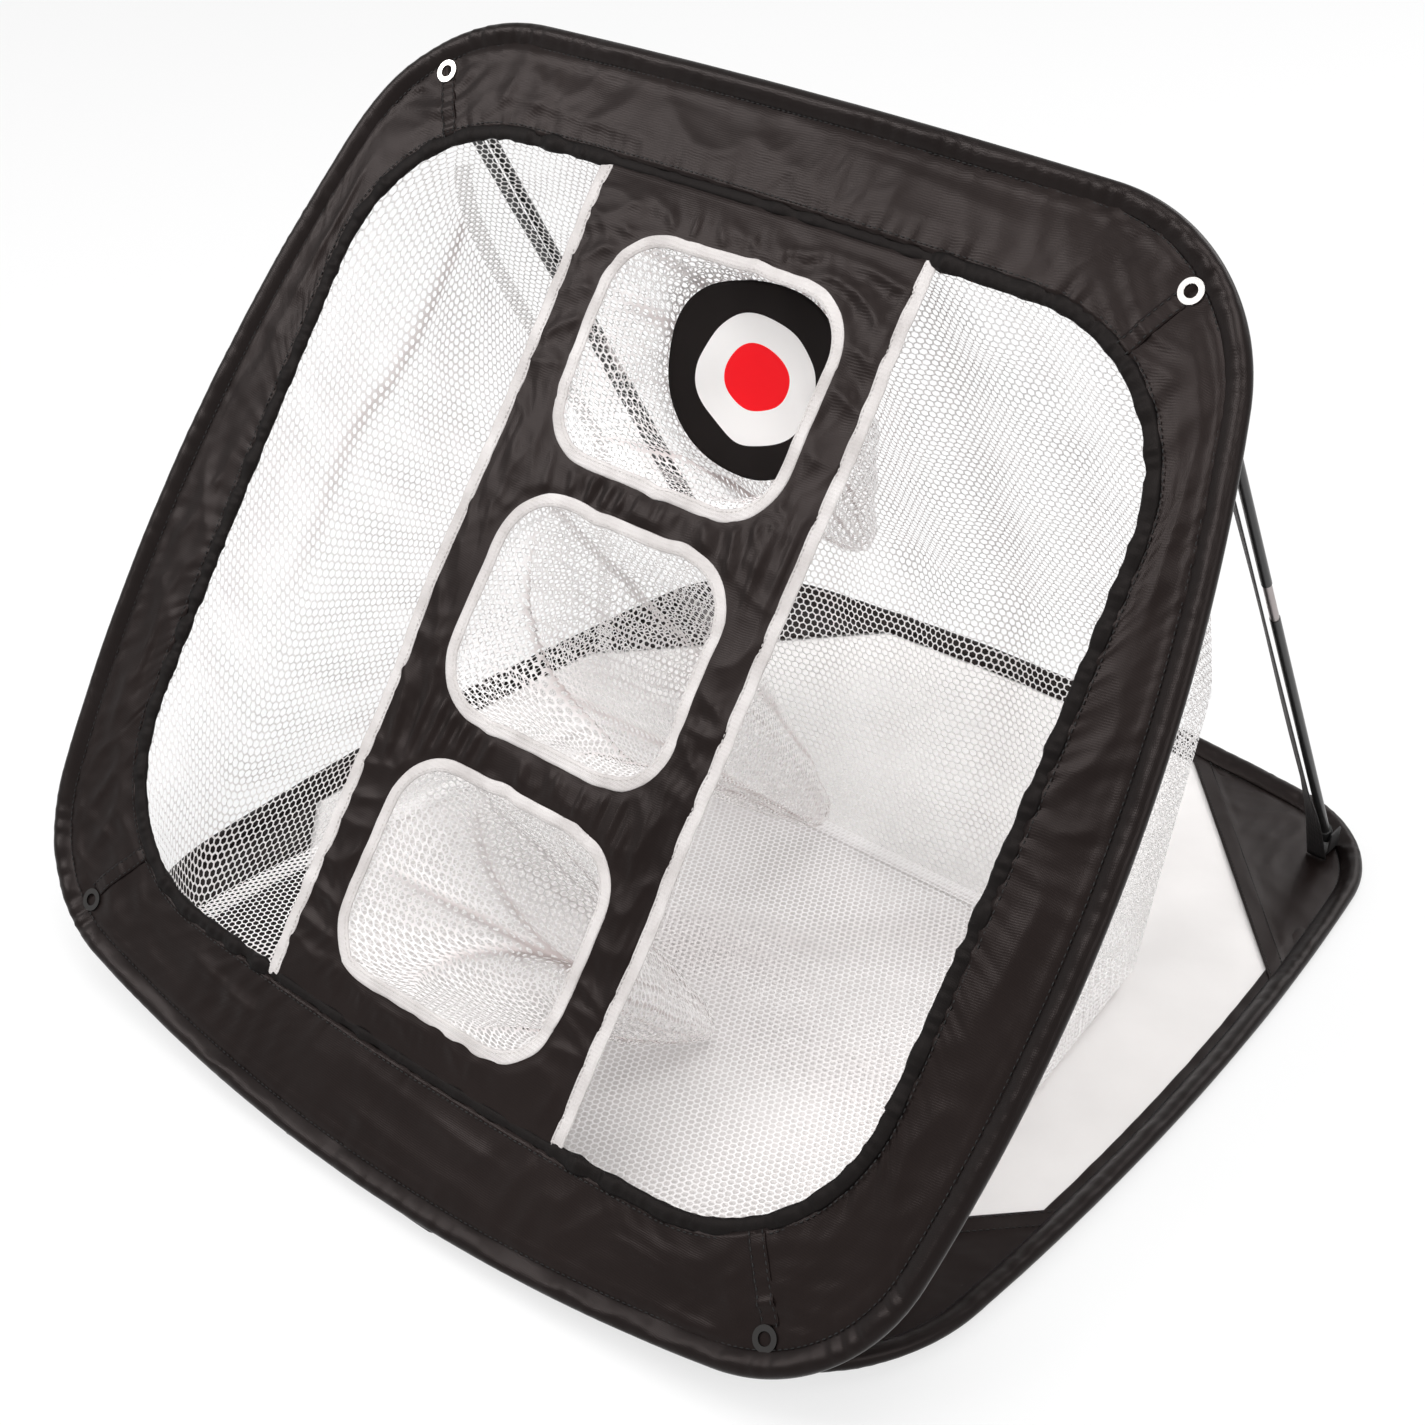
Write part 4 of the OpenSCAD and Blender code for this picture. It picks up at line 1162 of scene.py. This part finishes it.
def ground_cloth():
    """The cloth is a fan of grid lines to the middle, laid lower where a corner patch covers it."""
    rows = 44
    r = np.linspace(0, 1, rows) ** 0.9
    flat = (base_line + base_in * 10.5)[:, None, :] * (1 - r)[None, :, None]
    x, y = flat[..., 0], flat[..., 1]
    wave = wrinkles(x, y, 501, 260, 90, 6) * 0.9 + crease(wrinkles(x, y, 502, 120, 50, 5)) * 0.35
    under = np.clip((np.maximum(*(past_hem(x, y, *patch) for patch in PATCHES.values())) + 8) / 10, 0, 1)
    wave = np.maximum(wave * np.clip(r * 6, 0, 1), -0.7) * np.clip(1.15 - r, 0, 1)
    z = 0.9 - 0.35 * under + wave * (1 - 0.85 * under)
    made = mesh_object("ground_cloth_piece", np.stack([x, y, z], -1) * MM,
                       grid_faces(len(base_line), rows, loop_rows=True), GROUND_CLOTH)
    face_outwards(made, merge=1e-6)
    thicken(made, 0.5)
    stands_for(made, "base", "base_floor")


ground_cloth()

# %% Corner patches and hems
HEM_LINES = []


def side_of(p, a, b):
    return (b[0] - a[0]) * (p[..., 1] - a[1]) - (b[1] - a[1]) * (p[..., 0] - a[0])


def corner_patch(end, label, a, b, seed):
    """Fills the corner beyond the slanted hem through a and b."""
    a, b = np.array(a, float), np.array(b, float)
    edge = base_line + base_in * 10.8
    corner = np.array([b[0], a[1]])
    beyond = side_of(edge, a, b) * side_of(corner, a, b) > 0
    index = np.where(beyond)[0]
    start = next(i for i in index if not beyond[i - 1])
    outer = edge[(start + np.arange(len(index))) % len(edge)]
    direction = (b - a) / np.linalg.norm(b - a)
    first, last = (a + direction * np.dot(outer[k] - a, direction) for k in (0, -1))
    f = np.linspace(0, 1, len(outer))[:, None]
    inner = first * (1 - f) + last * f
    r = np.linspace(0, 1, 30)
    flat = inner[:, None, :] * (1 - r)[None, :, None] + outer[:, None, :] * r[None, :, None]
    x, y = flat[..., 0], flat[..., 1]
    gap = np.abs(side_of(flat, a, b)) / np.linalg.norm(b - a)
    hem = 0.7 * (1 / (1 + np.exp((gap - 12) * 1.6)))
    folds = wrinkles(x, y, seed, 220, 90, 5) * 0.6 + crumple(x, y, seed + 1, 55.0) * 0.35
    z = 2.3 + hem + np.maximum(folds, -0.8) * np.clip(gap / 14, 0, 1) * np.clip((1 - r) * 5, 0.1, 1)
    made = mesh_object("patch_%s_%s" % (end, label), np.stack([x, y, z], -1) * MM,
                       grid_faces(len(outer), len(r)), BLACK_TAFFETA, outwards=True)
    thicken(made, 0.7)
    stands_for(made, "base", "base_patch_%s_%s" % (end, label))
    side = np.array([-direction[1], direction[0]])
    if np.dot(outer.mean(0) - a, side) < 0:
        side = -side
    for inset in (1.6, 10.5):
        line = inner[2:-2] + side * inset
        HEM_LINES.append(np.column_stack([line, np.full(len(line), 3.45)]) * MM)


for side, label in SIDES:
    for (end, (sign, on_end, up_side)), seed in zip(PATCHES.items(), (520, 530)):
        corner_patch(end, label, (on_end * side, BASE_HALF_D * sign), (BASE_HALF_W * side, up_side * sign),
                     seed + side)
hem_z = 1.9 + 0.3 * waver(run_length(base_line)[:-1], 540, 40, 15, 5)
centre = np.column_stack([base_line + base_in * 15.0, hem_z]) * MM
hem = ribbon("base_hem_cloth", centre, *directions(centre, (0, 0, 1.0), closed=True), 8.5, 0.9,
             "black_cloth", BLACK_TAFFETA, closed=True)
stands_for(hem, "base", "base_border")

# %% [markdown]
# ## Straps, rod pockets and the hinge tape
# Webbing is modelled directly as a flat ribbon. Each strap hangs a little slack beside its rod,
# from the back of the panel to the base, and turns slightly as loose webbing does.

# %% Straps
(ROD_X, EYELET_UP), ROD_FOOT = EYELETS["top"], np.array([266.01, 13.0])


def strap(side, label, seed, beside, twist):
    """beside is the distance from the rod's axis and twist how far the webbing turns edge on."""
    upper = (ROD_X, *on_panel(0, 555.0, -0.9)[1:] / MM)
    lower = (ROD_X, ROD_FOOT[0] - 10, 3.0)
    rod_top, rod_low = np.array([ROD_X, *on_panel(0, EYELET_UP, 0)[1:] / MM]), np.array([ROD_X, *ROD_FOOT])
    along_rod = (rod_low - rod_top) / np.linalg.norm(rod_low - rod_top)
    below = np.array([0, along_rod[2], -along_rod[1]])
    path = [rod_top + (rod_low - rod_top) * f + below * beside for f in np.linspace(0.07, 0.93, 14)]
    line = rounded_path([upper, *path, lower], 110, 10)
    t = np.linspace(0, 1, len(line))
    slack = np.sin(t * math.pi) ** 2
    line = line + below * (0.7 * np.sin(t * 8 + seed) * slack)[:, None]
    line[:, 0] = (line[:, 0] + 0.7 * np.sin(t * math.pi * 2 + seed) * slack) * side
    turn = twist * np.clip(np.minimum(t, 1 - t) / 0.16, 0, 1) + 0.06 * np.sin(t * 9 + seed) * slack
    out = np.stack([np.sin(turn), -np.cos(turn) * 0.86, -np.cos(turn) * 0.5], 1)
    made = ribbon("strap_%s_webbing" % label, line * MM, *directions(line * MM, out), 13.5, 1.3,
                  "webbing", BLACK_WEBBING)
    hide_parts("strap_" + label)
    follows_fold(made)
    print("strap", label, "%.0f mm long" % run_length(line, closed=False)[-1])


strap(1, "right", 0.4, 8.0, -0.72)
strap(-1, "left", 1.7, 5.4, -0.05)

# %% Rod pockets and hinge tape
for side, label in SIDES:
    w, rows, cols = 5.1, 16, 40
    section = np.array([(-w - 0.3, 19.5), (-w - 0.1, 12), (-w, 5.5), (-w + 1.2, 3.3), (0, 2.75),
                        (w - 1.2, 3.3), (w, 5.5), (w + 0.1, 12), (w + 0.3, 19.5)])
    section = rounded_path(np.column_stack([section, np.zeros(len(section))]), cols, 3)[:, :2]
    flare = 0.35 * np.sin(np.linspace(0, 6.28, rows))[:, None]
    grid = np.stack(np.broadcast_arrays(side * ROD_X + section[:, 0] * (1 + 0.02 * flare),
                                        ROD_FOOT[0] + np.linspace(-6.0, 6.0, rows)[:, None],
                                        section[:, 1] + 0.12 * flare), -1)
    made = mesh_object("rod_pocket_" + label, grid * MM, grid_faces(rows, cols, flip=True),
                       BLACK_WEBBING, outwards=True)
    thicken(made, 1.1)
    stands_for(made, "base", "rod_socket_" + label)
x = np.linspace(-55, 55, 60)
down = np.array([0, -math.sin(math.radians(45)), -math.cos(math.radians(45))])
middle = np.array([0, (HINGE[0] + TUBE[0]) / 2, (HINGE[1] + TUBE[1]) / 2]) + down * (SLEEVE_R - 0.6)
centre = np.column_stack([x, middle[1] + 0.3 * np.sin(x / 9), np.full(60, middle[2])]) * MM
hinge_tape = ribbon("hinge_tape_cloth", centre, *directions(centre, down), 9.0, 0.9, "webbing", BLACK_WEBBING)
stands_for(hinge_tape, "panel", "hinge_tape")

# %% [markdown]
# ## Stitches
# Every seam shows its thread. A stitch is a tiny capsule, and a seam is thousands of them, so
# Geometry Nodes lay them: resample a curve at the stitch length, put one capsule at each point,
# turn it along the curve, and make the copies real, because the export drops instances.

# %% Stitch tree
def stitch_tree(material):
    tree = bpy.data.node_groups.new("stitches_" + material.name, "GeometryNodeTree")
    face = tree.interface
    face.new_socket("Geometry", in_out="INPUT", socket_type="NodeSocketGeometry")
    for name, value in (("Pitch", 0.0034), ("Length", 0.0024), ("Thread radius", 0.00036)):
        face.new_socket(name, in_out="INPUT", socket_type="NodeSocketFloat").default_value = value
    face.new_socket("Geometry", in_out="OUTPUT", socket_type="NodeSocketGeometry")
    add, link = tree.nodes.new, tree.links.new
    inlet, even, tangent, turn, capsule, size = (add(kind) for kind in (
        "NodeGroupInput", "GeometryNodeResampleCurve", "GeometryNodeInputTangent",
        "FunctionNodeAlignEulerToVector", "GeometryNodeMeshUVSphere", "ShaderNodeCombineXYZ"))
    half, shaped, lay, real, paint, outlet = (add(kind) for kind in (
        "ShaderNodeMath", "GeometryNodeTransform", "GeometryNodeInstanceOnPoints",
        "GeometryNodeRealizeInstances", "GeometryNodeSetMaterial", "NodeGroupOutput"))
    even.mode, turn.axis, half.operation = "LENGTH", "Z", "MULTIPLY"
    set_sockets(capsule, Segments=6, Rings=4, Radius=1.0)
    set_sockets(paint, Material=material)
    half.inputs[1].default_value = 0.5
    for source, end in ((inlet.outputs["Geometry"], even.inputs["Curve"]),
                        (inlet.outputs["Pitch"], even.inputs["Length"]),
                        (tangent.outputs[0], turn.inputs["Vector"]),
                        (inlet.outputs["Thread radius"], size.inputs["X"]),
                        (inlet.outputs["Thread radius"], size.inputs["Y"]),
                        (inlet.outputs["Length"], half.inputs[0]),
                        (half.outputs[0], size.inputs["Z"]),
                        (capsule.outputs["Mesh"], shaped.inputs["Geometry"]),
                        (size.outputs[0], shaped.inputs["Scale"]),
                        (even.outputs["Curve"], lay.inputs["Points"]),
                        (shaped.outputs["Geometry"], lay.inputs["Instance"]),
                        (turn.outputs["Rotation"], lay.inputs["Rotation"]),
                        (lay.outputs["Instances"], real.inputs["Geometry"]),
                        (real.outputs["Geometry"], paint.inputs["Geometry"]),
                        (paint.outputs["Geometry"], outlet.inputs["Geometry"])):
        link(source, end)
    return tree


TREES = {m.name: stitch_tree(m) for m in (BLACK_THREAD, WHITE_THREAD)}


def stitches(name, lines, body, material, pitch=3.4, length=2.4, radius=0.36):
    """lines are lists of points in metres; a closed line repeats its first point."""
    curve = bpy.data.curves.new(name + "_path", "CURVE")
    curve.dimensions = "3D"
    for line in lines:
        spline = curve.splines.new("POLY")
        spline.points.add(len(line) - 1)
        spline.points.foreach_set("co", np.column_stack([line, np.ones(len(line))]).ravel())
    holder = add_object(name + "_path", curve)
    modifier = holder.modifiers.new("stitches", "NODES")
    modifier.node_group = TREES[material.name]
    sizes = {"Pitch": pitch * MM, "Length": length * MM, "Thread radius": radius * MM}
    for socket in modifier.node_group.interface.items_tree:
        if socket.name in sizes:
            modifier[socket.identifier] = sizes[socket.name]
    evaluated = holder.evaluated_get(bpy.context.evaluated_depsgraph_get())
    data = bpy.data.meshes.new_from_object(evaluated)
    data.name = name
    bpy.data.objects.remove(holder)
    data.materials.clear()
    data.materials.append(material)
    data.polygons.foreach_set("use_smooth", [True] * len(data.polygons))
    made = add_object(name, data)
    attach(made, body)
    print(name, len(data.polygons), "faces")


# %% Rows of stitches
def closed_row(row):
    return np.concatenate([row, row[:1]])


def panel_row(line, inward, inset, lift):
    p = line + inward * inset
    return closed_row(on_panel(p[:, 0], p[:, 1], lift))


panel_rows = [panel_row(outer_line, outer_in, SEAM - 0.2, 1.15), panel_row(inner_line, inner_in, -8.4, 1.35)]
stitches("stitches_panel", panel_rows + SEAM_LINES, "panel", BLACK_THREAD)
ground_row = base_line + base_in * (SEAM + 0.4)
ground_row = closed_row(np.column_stack([ground_row, np.full(len(ground_row), 2.6)]) * MM)
stitches("stitches_base", [ground_row] + HEM_LINES, "base", BLACK_THREAD)
tape_rows = [closed_row(centre + (1.9 * across + 0.85 * out) * MM)
             for centre, across, out in RING_LINES.values()]
for side, _ in reversed(SIDES):
    v = np.linspace(74, 540, 240)
    u = tape_across(side, v, 103.6)
    tape_rows.append(on_panel(u, v, strip_height(u, v) + 0.95))
stitches("stitches_tape", tape_rows, "panel", WHITE_THREAD, 2.8, 1.9, 0.3)

# %% [markdown]
# ## Metal and rods
# The hoops, eyelets, rods and ferrules are rigid, and their CAD shapes are right, so they stay
# and only take a finish.

# %% Finishes for the CAD pieces that stay
STAY = {"panel_hoop": SPRING_STEEL, "base_hoop": SPRING_STEEL}
for side in ("left", "right"):
    STAY.update({"eyelet_top_" + side: NICKEL, "eyelet_bottom_" + side: DARK_NICKEL,
                 "rod_lower_" + side: ROD_BLACK, "rod_upper_" + side: ROD_BLACK,
                 "rod_foot_" + side: RUBBER, "rod_ferrule_" + side: FERRULE})
for node, material in STAY.items():
    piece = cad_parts[node]
    piece.data.materials.clear()
    piece.data.materials.append(material)

# %% Floor
def floor():
    """A plain square just under the net, with a matt pale surface that still takes its shadow."""
    half, low = 6.0, -0.0006
    data = bpy.data.meshes.new("studio_floor")
    corners = [(-half, -half, low), (half, -half, low), (half, half, low), (-half, half, low)]
    data.from_pydata(corners, [], [(0, 1, 2, 3)])
    made = add_object("studio_floor", data)
    material, nodes, links, surface = finish("studio_floor")
    set_sockets(surface, Base_Color=(0.80, 0.80, 0.80, 1), Roughness=0.9)
    glow, mix = (nodes.new(k) for k in ("ShaderNodeEmission", "ShaderNodeMixShader"))
    glow.inputs["Strength"].default_value = 1.0
    links.new(maths(nodes, links, "MULTIPLY", seen_ray(nodes, links), 0.72), mix.inputs[0])
    links.new(surface.outputs[0], mix.inputs[1])
    links.new(glow.outputs[0], mix.inputs[2])
    output = next(n for n in nodes if n.type == "OUTPUT_MATERIAL")
    links.new(mix.outputs[0], output.inputs[0])
    data.materials.append(material)


floor()
